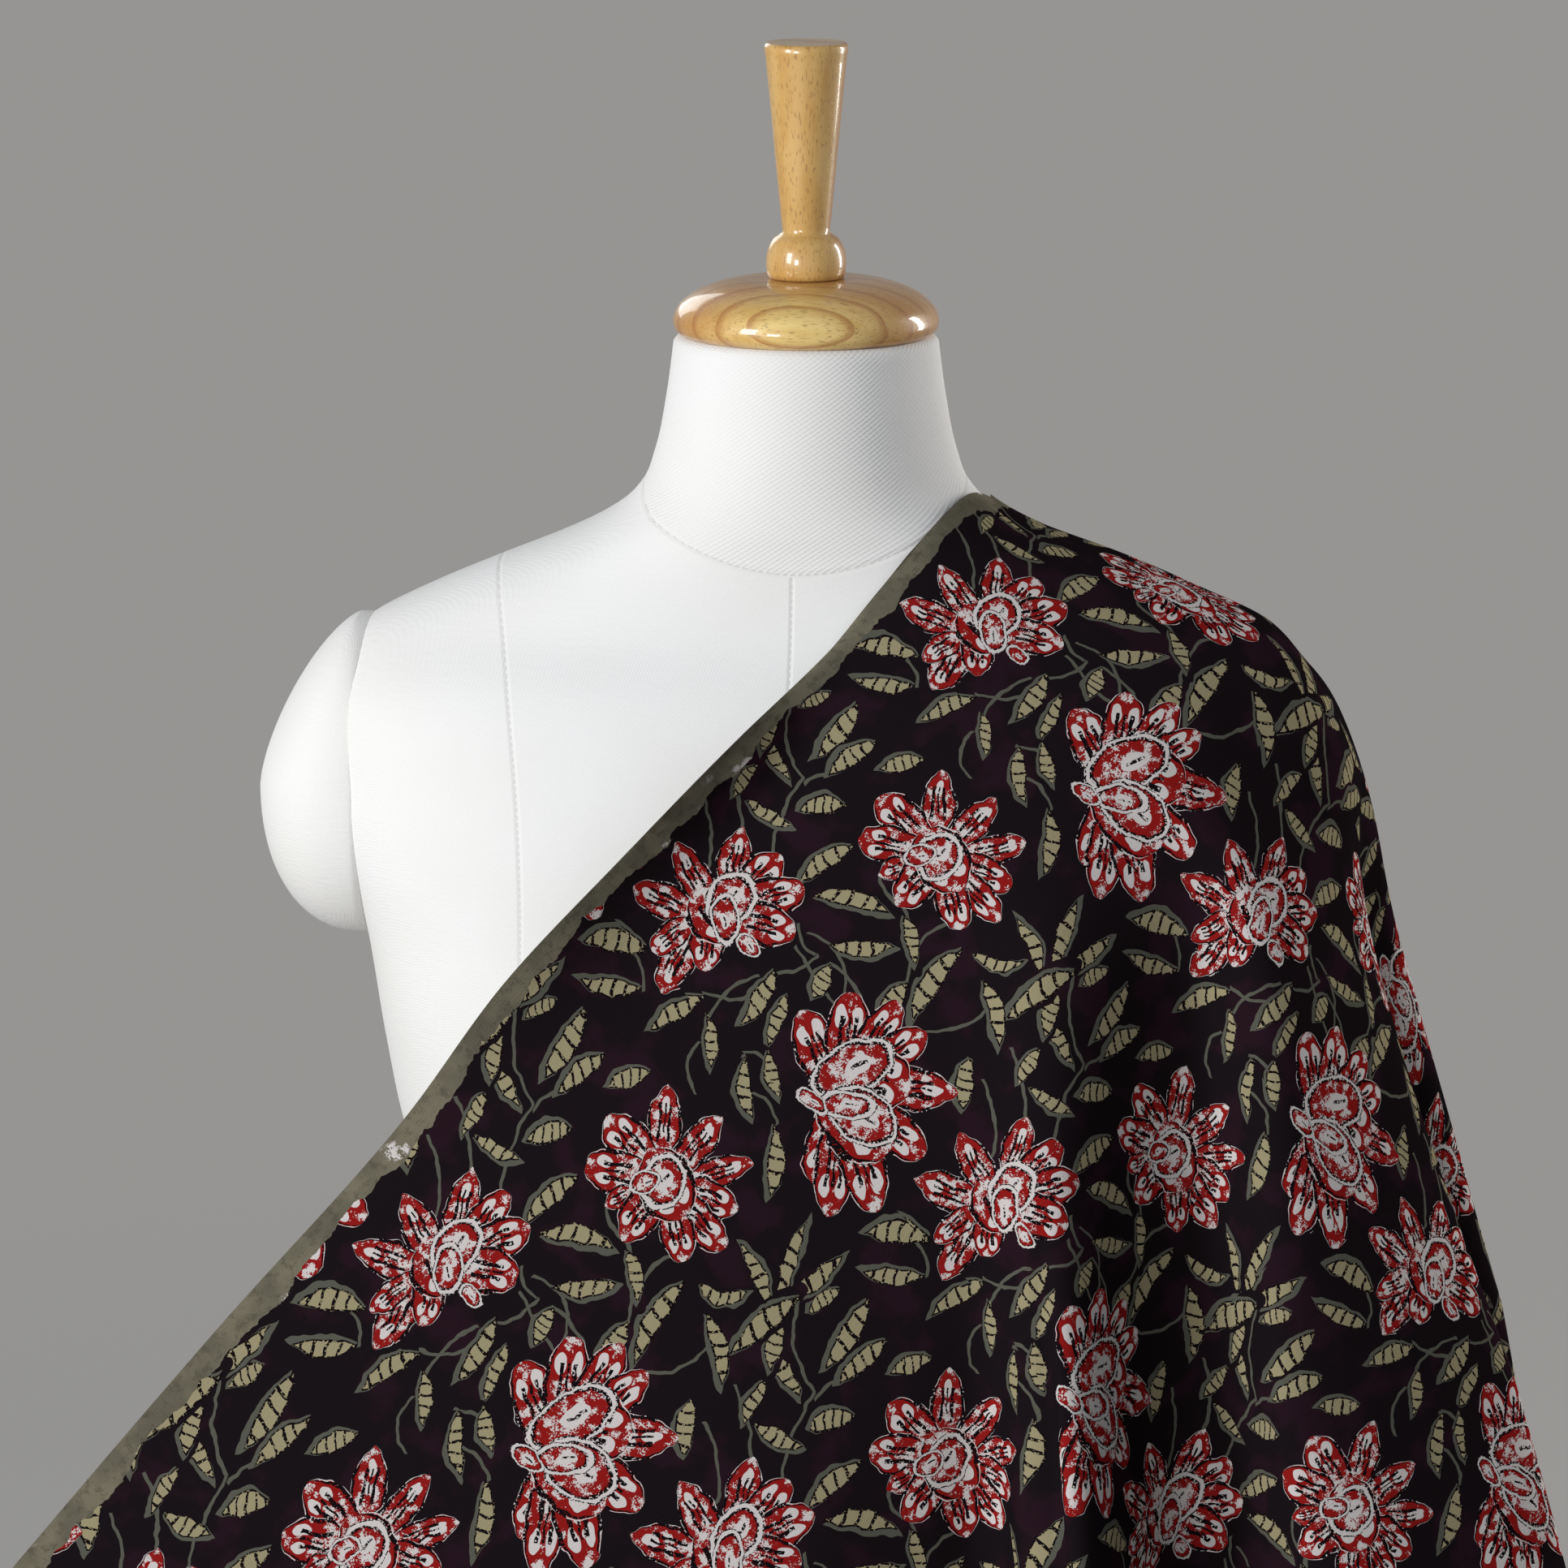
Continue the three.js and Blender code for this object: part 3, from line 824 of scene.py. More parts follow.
def uv_map(tree, name):
    node = tree.nodes.new("ShaderNodeUVMap")
    node.uv_map = name
    return node.outputs[0]


def object_place(tree):
    return tree.nodes.new("ShaderNodeTexCoord").outputs["Object"]


def finish(tree, shader, color, made, relief, strength):
    """Gives a shader its colour, and a group's roughness and height, with the relief in metres."""
    node = tree.nodes.new("ShaderNodeBump")
    node.inputs["Strength"].default_value = strength
    node.inputs["Distance"].default_value = relief
    feed(tree, node.inputs["Height"], made["Height"])
    feed(tree, shader.inputs["Normal"], node.outputs[0])
    feed(tree, shader.inputs["Base Color"], color)
    feed(tree, shader.inputs["Roughness"], made["Roughness"])


# %% [markdown]
# ## The block print
#
# The printer works with carved wooden blocks, one for each colour, and stamps them side by side down the
# cloth. So the pattern is one tile that repeats, and every stamp lands a little off. Three ordinary kinds
# of flower, small striped leaves and thin stems fill the tile. They are charted here, in
# millimetres: a petal or leaf goes from its base to its tip and has a width.
#
# A row of the chart becomes a few cheap nodes: two dot products give the place along the petal and across
# it, as parts of its half length and half width. The last row that covers a point hands on its own
# coordinates, as the last stamp covers the ones below. Then one small set of nodes draws a petal from
# those coordinates, whichever petal it is. An image texture would be the usual way, but it would blur up
# close, and this way each stamp stays crisp.

# %% Chart of the print
# base across, base along, tip across, tip along, width (millimetres), bend (part of the half width)
LEAVES_MM = [
    (39, -3, 12, 17, 12, 0.5), (49, 12, 23, 31, 9, -0.4), (70, -5, 60, 25, 9, 0.4),
    (88, -35, 92, -4, 10, -0.3), (98, -31, 107, -6, 8, 0.2), (107, -6, 126, 5, 8, 0.3),
    (78, 0, 95, 17, 8, -0.3), (100, 3, 122, 21, 9, 0.7), (131, 12, 150, 38, 10, -0.5),
    (73, 34, 61, 54, 9, 0.2), (103, -54, 108, -36, 10, 0), (139, 86, 146, 129, 11, 0.7),
    (79, 114, 112, 95, 10, -0.7), (100, 128, 123, 105, 9, 0.4), (132, 114, 139, 140, 12, 0.2),
    (114, 93, 134, 107, 8, -0.3), (75, 86, 69, 118, 10, 0.4), (22, 41, 16, 59, 8, 0.2),
    (35, 36, 39, 73, 11, -0.3), (52, 43, 46, 73, 10, 0.3), (12, 82, 41, 86, 8, -0.3),
    (61, 74, 47, 93, 11, 0.3), (21, 91, 25, 112, 8, 0.2), (30, 108, 55, 100, 8, 0.3),
    (175, 118, 191, 138, 11, 0.3), (179, 66, 149, 56, 8, 0.7), (182, 65, 166, 28, 9, -0.4),
    (184, 65, 192, 27, 9, 0.4), (149, 86, 171, 70, 8, 1.4), (186, 69, 197, 89, 9, 0.3),
    (185, 55, 176, 97, 12, 0.3), (159, 88, 187, 106, 10, -0.6),
]
# base across, base along, tip across, tip along, width (millimetres), point (0.5 is round, 1 is sharp)
PETALS_MM = [
    (52, -42, 38, -70, 16, 0.85), (52, -34, 20, -42, 16, 0.85), (50, -28, 18, -14, 16, 0.85),
    (50, -23, 56, 8, 17, 0.8), (48, -25, 43, -1, 12, 0.6),
    (56, -40, 57, -74, 17, 0.5), (58, -40, 74, -71, 18, 0.5), (58, -38, 84, -53, 19, 0.5),
    (52, -32, 65, -12, 16, 0.5), (41, -36, 65, -30, 26, 0.5),
    (102, 58, 83, 33, 16, 0.85), (109, 58, 110, 26, 14, 0.7), (115, 58, 133, 30, 13, 0.7),
    (102, 62, 71, 62, 19, 0.5), (102, 66, 77, 82, 18, 0.5), (101, 73, 94, 88, 10, 0.8),
    (114, 60, 141, 49, 16, 0.5), (114, 64, 147, 64, 16, 0.5), (114, 66, 137, 80, 16, 0.5),
    (108, 64, 109, 92, 18, 0.5), (95, 58, 125, 68, 26, 0.5),
    (143, -16, 108, -30, 21, 0.5), (143, -20, 119, -52, 21, 0.5), (143, -26, 138, -64, 17, 0.5),
    (146, -26, 155, -63, 17, 0.5), (150, -27, 184, -54, 19, 0.8), (150, -20, 191, -24, 19, 0.5),
    (146, -13, 159, 18, 18, 0.5), (148, -13, 174, 23, 19, 0.5), (150, -14, 190, 7, 21, 0.5),
    (133, -24, 167, -40, 30, 0.5), (137, -13, 178, -14, 31, 0.5),
]
# base across, base along, tip across, tip along, width (millimetres), how thick the white rim is
HEARTS_MM = [
    (53, -30, 55, -57, 21, 0.24), (50, -43, 65, -27, 14, 0.24), (66, -34, 79, -34, 8, 0.24),
    (108, 75, 108, 51, 21, 0.24), (98, 75, 106, 62, 10, 0.24),
    (133, -9, 150, -48, 23, 0.18), (141, -12, 176, -22, 24, 0.18), (139, -7, 161, -24, 13, 0.27),
    (129, -4, 146, -7, 8, 0.24),
]
# from across, from along, to across, to along (millimetres), bend (millimetres)
STEMS_MM = [
    (12, 58, 42, 80, 5), (42, 80, 60, 122, 4), (44, 82, 50, 66, -2), (12, 120, 38, 139, -3),
    (92, 83, 112, 90, 5), (110, 90, 134, 115, -4), (131, 82, 128, 98, 2), (88, 129, 119, 140, -8),
    (88, 137, 140, 143, 3), (150, 126, 168, 92, 6), (188, 101, 218, 122, -3), (82, -57, 96, -52, 2),
    (97, -53, 90, -34, -2), (103, -54, 133, -47, -4), (90, -33, 70, -5, -6), (84, -28, 80, 1, 3),
    (82, 10, 95, 27, 5), (100, 2, 113, -3, -2), (110, 12, 132, 12, -4), (36, 4, 50, 12, -2),
    (38, 139, 44, 150, 2),
]
STEM_WIDTH_MM = 1.5
FAR_OFF = 9  # half lengths, for a place that no row covers
LEAF_REACH = 1.25  # half lengths from its middle to where a bent leaf may end
print("tile of", len(LEAVES_MM), "leaves,", len(PETALS_MM), "petals and", len(STEMS_MM), "stems")


# %% From chart to dot products
def on_tile(base, tip, width):
    """For a row and its copies that reach the tile: the vectors that give the place along and across it."""
    base, tip = np.array(base) / 1000, np.array(tip) / 1000
    half, way = np.linalg.norm(tip - base) / 2, (tip - base) / np.linalg.norm(tip - base)
    side = np.array([-way[1], way[0]])
    extent = np.abs(way) * half + np.abs(side) * width / 2000
    found = []
    for step in [(i, j) for i in (-2, -1, 0, 1) for j in (-1, 0, 1)]:
        centre = (base + tip) / 2 + np.array(step) * (BLOCK_WIDTH, BLOCK_LENGTH)
        if np.all(centre + extent > 0) and np.all(centre - extent < (BLOCK_WIDTH, BLOCK_LENGTH)):
            along = (*(way / half), -(centre @ way) / half)
            across = (*(side / (width / 2000)), -(centre @ side) / (width / 2000))
            found.append((along, across))
    return found


def own_place(tree, place, along, across):
    """A place in a row's own coordinates: parts of its half length and of its half width."""
    return vector(tree, "DOT_PRODUCT", place, along), vector(tree, "DOT_PRODUCT", place, across)


def topmost(tree, place, rows, spread):
    """The coordinates of the last row that covers a place. The third one is the row's last value."""
    best = joined(tree, FAR_OFF, FAR_OFF, 0)
    share = 0.1  # the row's last value counts little in the length that says what a row covers
    for *ends, width, extra in rows:
        for along, across in on_tile(ends[:2], ends[2:], width):
            own = joined(tree, *own_place(tree, place, along, across), extra * share)
            inside = is_below(tree, vector(tree, "LENGTH", own), spread)
            best = blend(tree, inside, best, own, kind="VECTOR")
    x, y, z = split(tree, best)
    return x, y, product(tree, z, 1 / share)


def nearest_stem(tree, place):
    """Below 1 on a stem: the distance from it as a part of its half width."""
    found = []
    for *ends, bend in STEMS_MM:
        bow = bend / (STEM_WIDTH_MM / 2)
        for along, across in on_tile(ends[:2], ends[2:], STEM_WIDTH_MM):
            x, y = own_place(tree, place, along, (across[0], across[1], across[2] - bow))
            square = product(tree, x, x)
            found.append(largest(tree, unsigned(tree, times_plus(tree, square, bow, y)), square))
    return smallest(tree, *found)


# %% Stamps: leaves and stems
OLIVE, KHAKI, INK = paint(84, 85, 76), paint(149, 140, 110), paint(20, 15, 18)
RED, CHALK = paint(136, 26, 25), paint(200, 194, 192)
GROUND, PLUM = paint(25, 20, 23), paint(37, 22, 30)
KHAKI_SIZE, KHAKI_SLIP = 0.80, (0.10, 0.22)  # slipped to the base and to one side
LEAF_LINES, LINE_WIDTH = 2.9, 0.12  # ink lines on half a leaf, and their half width
INK_FROM = dict(leaf=0.38, petal=0.37, heart=0.44)  # ink shows where the speckle is above this


def broken(tree, ink, speckle, level):
    """Breaks fine ink lines up into specks, as where a block printed weakly."""
    return product(tree, ink, is_above(tree, speckle, level))


def with_leaves(tree, place, color, speckle):
    """Stamps the stems and the leaves onto a colour."""
    color = blend(tree, is_below(tree, nearest_stem(tree, place), 1.0), color, OLIVE)
    x, y, bend = topmost(tree, place, LEAVES_MM, LEAF_REACH)
    square = product(tree, x, x)
    y = times_plus(tree, square, bend, y)
    y = times_plus(tree, bend, -0.35, y)  # a bent leaf moves back, so that it stays over its chart line
    leaf = is_below(tree, unsigned(tree, y), less(tree, 1.0, square))
    color = blend(tree, leaf, color, OLIVE)
    # the khaki block lands a little to one side, so olive shows along one edge and at the tip
    slipped_x, slipped_y = total(tree, x, KHAKI_SLIP[0]), total(tree, y, KHAKI_SLIP[1])
    room = times_plus(tree, product(tree, slipped_x, slipped_x), -1.0, KHAKI_SIZE)
    edge = less(tree, room, unsigned(tree, slipped_y))
    khaki = is_above(tree, edge, 0.0)
    color = blend(tree, khaki, color, KHAKI)
    # thin ink lines across the leaf and round its khaki part, broken where the block printed weakly
    turn = times_plus(tree, product(tree, y, y), 0.15, product(tree, y, 0.25))
    stripe = fraction(tree, times_plus(tree, x, LEAF_LINES, turn))
    stripes = product(tree, is_near(tree, stripe, 0.5, LINE_WIDTH), khaki)
    lines = largest(tree, stripes, is_near(tree, edge, 0.03, 0.08))
    return blend(tree, broken(tree, lines, speckle, INK_FROM["leaf"]), color, INK)


# %% Stamps: petals
DOT_AT, DOT_SHRINK = 0.44, (4.2, 4.0)  # along the petal, and how much smaller than the petal a dot is


def with_petals(tree, place, color, speckle, mottle):
    """Stamps the petals: red with a chalky middle, white dots, dark strokes and a thin white edge."""
    x, y, point = topmost(tree, place, PETALS_MM, 1.0)
    room = largest(tree, less(tree, 1.0, product(tree, x, x)), 0.0001)
    rim = ratio(tree, unsigned(tree, y), number(tree, "POWER", room, point))
    # two dots near the tip, which are one dot on a pointed petal
    apart = largest(tree, times_plus(tree, point, -1.2, 0.96), 0.0)
    dot_x = product(tree, less(tree, x, DOT_AT), DOT_SHRINK[0])
    dot_y = product(tree, less(tree, unsigned(tree, y), apart), DOT_SHRINK[1])
    dot = radius_of(tree, dot_x, dot_y)
    middle = ramp(tree, rim, 0.30, 0.90, 0.04, -0.11)
    dot_edge = ramp(tree, dot, 1.0, 2.1, -0.22, 0.0)
    worn_rim = ramp(tree, rim, 0.86, 0.97, 0.0, 0.16)
    chalky = ramp(tree, total(tree, mottle, middle, dot_edge, worn_rim), 0.50, 0.55)
    white = largest(tree, chalky, is_below(tree, dot, 1.0), is_near(tree, rim, 0.975, 0.022))
    inside = blend(tree, white, RED, CHALK)
    # strokes: one along the middle, and shorter ones beside it towards the base
    vein = product(tree, is_near(tree, y, 0.0, 0.055), is_near(tree, x, 0.10, 0.36))
    strokes = is_near(tree, fraction(tree, product(tree, y, 1.7)), 0.5, 0.15)
    strokes = product(tree, strokes, is_near(tree, x, 0.0, 0.46))
    ink = largest(tree, vein, strokes, is_near(tree, rim, 0.87, 0.055))
    inside = blend(tree, broken(tree, ink, speckle, INK_FROM["petal"]), inside, INK)
    return blend(tree, is_below(tree, rim, 1.0), color, inside)


# %% Stamps: hearts
EYE_AT, EYE_SHRINK = 0.12, (3.0, 3.2)  # along the heart, and how much smaller than the heart its eye is


def with_hearts(tree, place, color, speckle, mottle):
    """Stamps the flowers' hearts and buds: a thick white rim round a red drop with a white eye."""
    x, y, thick = topmost(tree, place, HEARTS_MM, 1.0)
    radius = radius_of(tree, x, y)
    inner = less(tree, 1.0, thick)
    eye_x = product(tree, less(tree, x, EYE_AT), EYE_SHRINK[0])
    eye = radius_of(tree, eye_x, product(tree, y, EYE_SHRINK[1]))
    chalky = ramp(tree, total(tree, mottle, ramp(tree, radius, 0.2, 0.7, 0.04, -0.10)), 0.485, 0.515)
    white = largest(tree, is_above(tree, radius, inner), chalky, is_below(tree, eye, 1.0))
    inside = blend(tree, white, RED, CHALK)
    stroke = product(tree, is_near(tree, y, 0.0, 0.06), is_near(tree, x, 0.15, 0.22))
    ink = largest(tree, is_near(tree, radius, inner, 0.05), is_near(tree, radius, 0.98, 0.03), stroke)
    inside = blend(tree, broken(tree, ink, speckle, INK_FROM["heart"]), inside, INK)
    return blend(tree, is_below(tree, radius, 1.0), color, inside)


# %% The block print
BLOCK = (BLOCK_WIDTH, BLOCK_LENGTH, 1)
RAGGED, SLIP = 0.0028, 0.0016  # how far an edge wanders, and how far a whole stamp lands off
THREADS, THREAD_STRETCH = 1900, 0.08  # fine noise, drawn out along the warp and along the weft
DAB_BORDER = 0.013  # from the selvedge, how far in the chalky dabs lie
FINENESS = dict(ragged=130, speckle=900, grain=1500, mottle=210, cloudy=38, selvedge=30)  # noise per metre
DULL_OLIVE, PALE_OLIVE, DEEP_OLIVE = paint(96, 92, 79), paint(115, 110, 93), paint(70, 66, 57)


def stamped_place(tree, given):
    """The place on the block's tile, with ragged edges and a small slip of each stamp."""
    half = -RAGGED / 2
    edges = noise(tree, given["Cloth"], FINENESS["ragged"], 1, output="Color")
    wander = vector(tree, "MULTIPLY_ADD", edges, (RAGGED, RAGGED, 0), (half, half, 1))
    chance = tree.nodes.new("ShaderNodeTexWhiteNoise")
    chance.noise_dimensions = "2D"
    stamp = vector(tree, "FLOOR", vector(tree, "DIVIDE", given["Blocks"], BLOCK))
    feed(tree, chance.inputs["Vector"], stamp)
    wander = vector(tree, "MULTIPLY_ADD", chance.outputs["Color"], (SLIP, SLIP, 0), wander)
    return vector(tree, "ADD", vector(tree, "WRAP", given["Blocks"], BLOCK, (0, 0, -1)), wander)


def with_selvedges(tree, given, color, cloudy, mottle):
    """The bare olive selvedges, with a ragged edge where the dye stopped, and a few chalky dabs."""
    front, back = split(tree, given["Selvedges"])[:2]
    nearest = smallest(tree, front, back)
    border = times_plus(tree, noise(tree, given["Cloth"], FINENESS["selvedge"], 4, 0.6), 0.018, 0.001)
    olive = blend(tree, ramp(tree, cloudy, 0.35, 0.65), DULL_OLIVE, PALE_OLIVE)
    olive = blend(tree, ramp(tree, mottle, 0.50, 0.72, 0.0, 0.5), olive, DEEP_OLIVE)
    color = blend(tree, is_below(tree, nearest, border), color, olive)
    dabs = ramp(tree, noise(tree, given["Cloth"], FINENESS["selvedge"], 1), 0.67, 0.71)
    dabs = product(tree, dabs, is_above(tree, mottle, 0.52), is_below(tree, nearest, DAB_BORDER))
    return blend(tree, dabs, color, CHALK)


def block_print():
    """A group that gives the printed colour from the print and selvedge coordinates."""
    tree, given, result = new_group(
        "block_print", [("Blocks", "Vector"), ("Cloth", "Vector"), ("Selvedges", "Vector")],
        [("Color", "Color"), ("Height", "Float"), ("Roughness", "Float")],
    )
    cloth_place = given["Cloth"]
    place = stamped_place(tree, given)
    speckle = noise(tree, cloth_place, FINENESS["speckle"], 2)
    grain = times_plus(tree, noise(tree, cloth_place, FINENESS["grain"], 1), 0.45, -0.225)
    mottle = total(tree, noise(tree, cloth_place, FINENESS["mottle"], 3, 0.6), grain)
    cloudy = noise(tree, cloth_place, FINENESS["cloudy"], 3)
    color = blend(tree, ramp(tree, cloudy, 0.50, 0.66), GROUND, PLUM)
    color = with_leaves(tree, place, color, speckle)
    color = with_petals(tree, place, color, speckle, mottle)
    color = with_hearts(tree, place, color, speckle, mottle)
    feed(tree, result["Color"], with_selvedges(tree, given, color, cloudy, mottle))
    # plain weave: threads of uneven thickness, both ways
    warp = noise(tree, vector(tree, "MULTIPLY", cloth_place, (1, THREAD_STRETCH, 1)), THREADS, 1)
    weft = noise(tree, vector(tree, "MULTIPLY", cloth_place, (THREAD_STRETCH, 1, 1)), THREADS, 1)
    feed(tree, result["Height"], total(tree, warp, weft))
    feed(tree, result["Roughness"], ramp(tree, mottle, 0.3, 0.7, 0.78, 0.92))
    return tree


# %% The printed cotton
print_group = block_print()
cotton, tree, shader = new_material("printed_cotton")
made = placed_group(
    tree, print_group, Blocks=uv_map(tree, "print_blocks"), Cloth=uv_map(tree, "flat_cloth"),
    Selvedges=uv_map(tree, "selvedges"),
)
# the dyes went through the cloth, so the reverse shows the same print, paler
back = tree.nodes.new("ShaderNodeNewGeometry").outputs["Backfacing"]
FADING, FADED_GREY = 0.35, paint(70, 62, 62)
faded = blend(tree, FADING, made["Color"], FADED_GREY)
finish(tree, shader, blend(tree, back, made["Color"], faded), made, relief=0.00025, strength=0.5)
shader.inputs["Specular IOR Level"].default_value = 0.0
print("block print:", len(print_group.nodes), "nodes")

# %% [markdown]
# ## The form's cover
#
# The cover is off-white cotton. The neck is cut on the bias from a twill, so its fine ribs rise to the
# right, and the body is a flat plain weave. Threads this thin would cost millions of faces, so they are
# bump. The seams are drawn by distance: a seam is a line that a short formula gives on the form, and the
# cloth dips a little towards it and carries a row of small stitches.

# %% Seams
SEAM_DEPTH = 1.7  # how deep a seam is, where the weave's relief is 1
THREAD_WIDTH = 0.0004
STITCH, NECK_STITCH = 0.0030, 0.0034  # from one stitch to the next
PANEL_SEAM, MIDDLE_SEAM, NECK_SEAM = 0.0018, 0.0016, 0.0022  # how far out the cloth dips beside a seam
MIDDLE_OFF = 0.002  # the middle seam lies this far to the left
NECK_LOW, NECK_RISE = 0.6515, 5.1  # the neck seam's height in front, and how fast it rises to the sides
BACK_FROM, BACK_RISE = 0.040, 0.25  # how far before the axis it starts to rise backwards, and its slope
PANEL_X, PANEL_Z, PANEL_CURVE = 0.1155, 0.50, 0.75  # where a panel seam is straight, and how it curves


def seam(tree, distance, along, width, pitch):
    """The depth of a seam and its thread, from the distance to it and the place along it."""
    off = unsigned(tree, distance)
    dip = ramp(tree, off, 0.0, width, 1.0, 0.0)
    stitch = is_near(tree, fraction(tree, ratio(tree, along, pitch)), 0.5, 0.30)
    return dip, product(tree, is_below(tree, off, THREAD_WIDTH), stitch)


def above_neck_seam(tree, x, y, z):
    """The height above the neck seam, which is lowest at the front and higher towards the back."""
    low = times_plus(tree, product(tree, x, x), NECK_RISE, NECK_LOW)
    behind = largest(tree, total(tree, y, BACK_FROM), 0.0)
    return less(tree, z, times_plus(tree, behind, BACK_RISE, low))


def cover_seams(tree, x, z, above_seam, seams):
    """The dips and threads of the seams: one round the neck, two panels and one down the middle."""
    neck_dip, neck_thread = seam(tree, above_seam, x, NECK_SEAM, NECK_STITCH)
    lift = less(tree, z, PANEL_Z)
    curve = product(tree, lift, unsigned(tree, lift))
    panel = less(tree, unsigned(tree, x), times_plus(tree, curve, PANEL_CURVE, PANEL_X))
    panel_dip, panel_thread = seam(tree, panel, z, PANEL_SEAM, STITCH)
    middle_dip, middle_thread = seam(tree, total(tree, x, MIDDLE_OFF), z, MIDDLE_SEAM, STITCH)
    body = product(tree, is_below(tree, above_seam, 0.0), seams)
    dip = product(tree, largest(tree, panel_dip, middle_dip), body)
    thread = product(tree, largest(tree, panel_thread, middle_thread), body)
    dip = largest(tree, dip, product(tree, neck_dip, seams))
    return dip, largest(tree, thread, product(tree, neck_thread, seams))


# %% Weave
TWILL, ACROSS, UP = [2 * math.pi / pitch for pitch in (0.0017, 0.0013, 0.0012)]  # turns in a metre
TWILL_RISE, TWILL_RUN = 0.82, 0.57  # the slope of the ribs
NECK_RADIUS = 0.058


def cover_weave(tree, x, y, z, neck):
    """Twill ribs on the neck, measured round it, and a finer plain weave below."""
    turn = product(tree, number(tree, "ARCTAN2", x, product(tree, y, -1.0)), NECK_RADIUS)
    rib = less(tree, product(tree, z, TWILL_RISE), product(tree, turn, TWILL_RUN))
    upwards = sine(tree, product(tree, z, UP))
    twill = product(tree, sine(tree, product(tree, rib, TWILL)), times_plus(tree, upwards, 0.35, 0.65))
    sideways = sine(tree, product(tree, total(tree, x, y), ACROSS))
    plain = product(tree, sideways, upwards, 0.45)
    return total(tree, product(tree, twill, neck), product(tree, plain, less(tree, 1.0, neck)))


# %% The cover's finish
# off-white and cream, greys for painted shade in the weave's hollows and the seams' dips, and the thread
WHITE, CREAM, WEAVE_SHADE = paint(233, 233, 233), paint(228, 227, 224), paint(176, 176, 176)
SEAM_SHADE, THREAD = paint(190, 186, 180), paint(160, 150, 145)
SLUBS, SOFTNESS = 90, 7  # how fine the threads' unevenness and the cover's patches are


def cover():
    """A group for the cover's colour and relief, from places on the form."""
    tree, given, result = new_group(
        "form_cover", [("Place", "Vector"), ("Seams", "Float")],
        [("Color", "Color"), ("Height", "Float"), ("Roughness", "Float")],
    )
    place = given["Place"]
    x, y, z = split(tree, place)
    above_seam = above_neck_seam(tree, x, y, z)
    dip, thread = cover_seams(tree, x, z, above_seam, given["Seams"])
    weave = cover_weave(tree, x, y, z, is_above(tree, above_seam, 0.0))
    slubs = noise(tree, vector(tree, "MULTIPLY", place, (1, 1, 6)), SLUBS, 3, 0.6, flat=False)
    height = times_plus(tree, weave, 0.5, slubs)
    feed(tree, result["Height"], times_plus(tree, dip, -SEAM_DEPTH, height))
    # the cover's tone varies in soft patches, painted shade darkens the hollows between the threads and the
    # dips of the seams, and the stitches are a darker thread
    soft = noise(tree, place, SOFTNESS, 3, flat=False)
    color = blend(tree, ramp(tree, soft, 0.35, 0.75), WHITE, CREAM)
    # painted shade: the hollows of the weave are a little darker
    color = blend(tree, ramp(tree, weave, -0.9, -0.2, 0.07, 0.0), color, WEAVE_SHADE)
    # painted shade: the cover is a little darker along the dip of each seam
    color = blend(tree, product(tree, dip, 0.06), color, SEAM_SHADE)
    color = blend(tree, product(tree, thread, 0.22), color, THREAD)
    feed(tree, result["Color"], color)
    feed(tree, result["Roughness"], ramp(tree, weave, -1, 1, 0.95, 0.85))
    return tree


# %% Cover materials
cover_group = cover()


def cover_material(name, seams):
    material, tree, shader = new_material(name)
    made = placed_group(tree, cover_group, Place=object_place(tree), Seams=seams)
    finish(tree, shader, made["Color"], made, relief=0.00020, strength=0.8)
    shader.inputs["Specular IOR Level"].default_value = 0.2
    return material


canvas = cover_material("canvas_cover", seams=1.0)
arm_canvas = cover_material("arm_cover", seams=0.0)
print("cover materials:", canvas.name, "and", arm_canvas.name)

# %% [markdown]
# ## Varnished wood
#
# Both pieces were turned from a pale, honey-coloured wood and varnished. The rings of a tree are nested
# shells, and the lathe cuts through them, so a solid pattern of shells gives the ovals on the cap where
# its side grazes one. The pores are short dark dashes along the grain, which is noise stretched in one
# direction. The varnish is a clear coat over it.

# %% Wood
RINGS = 100  # in a metre
SAPWOOD_FADE = 0.030  # over which the wood turns browner, out from its pale middle
RING_WAVE = 0.010  # how far a ring wanders
HONEY, TAN, BROWN = paint(237, 208, 137), paint(215, 178, 101), paint(178, 118, 52)
LATE_WOOD, PORE = paint(166, 104, 50), paint(126, 84, 44)


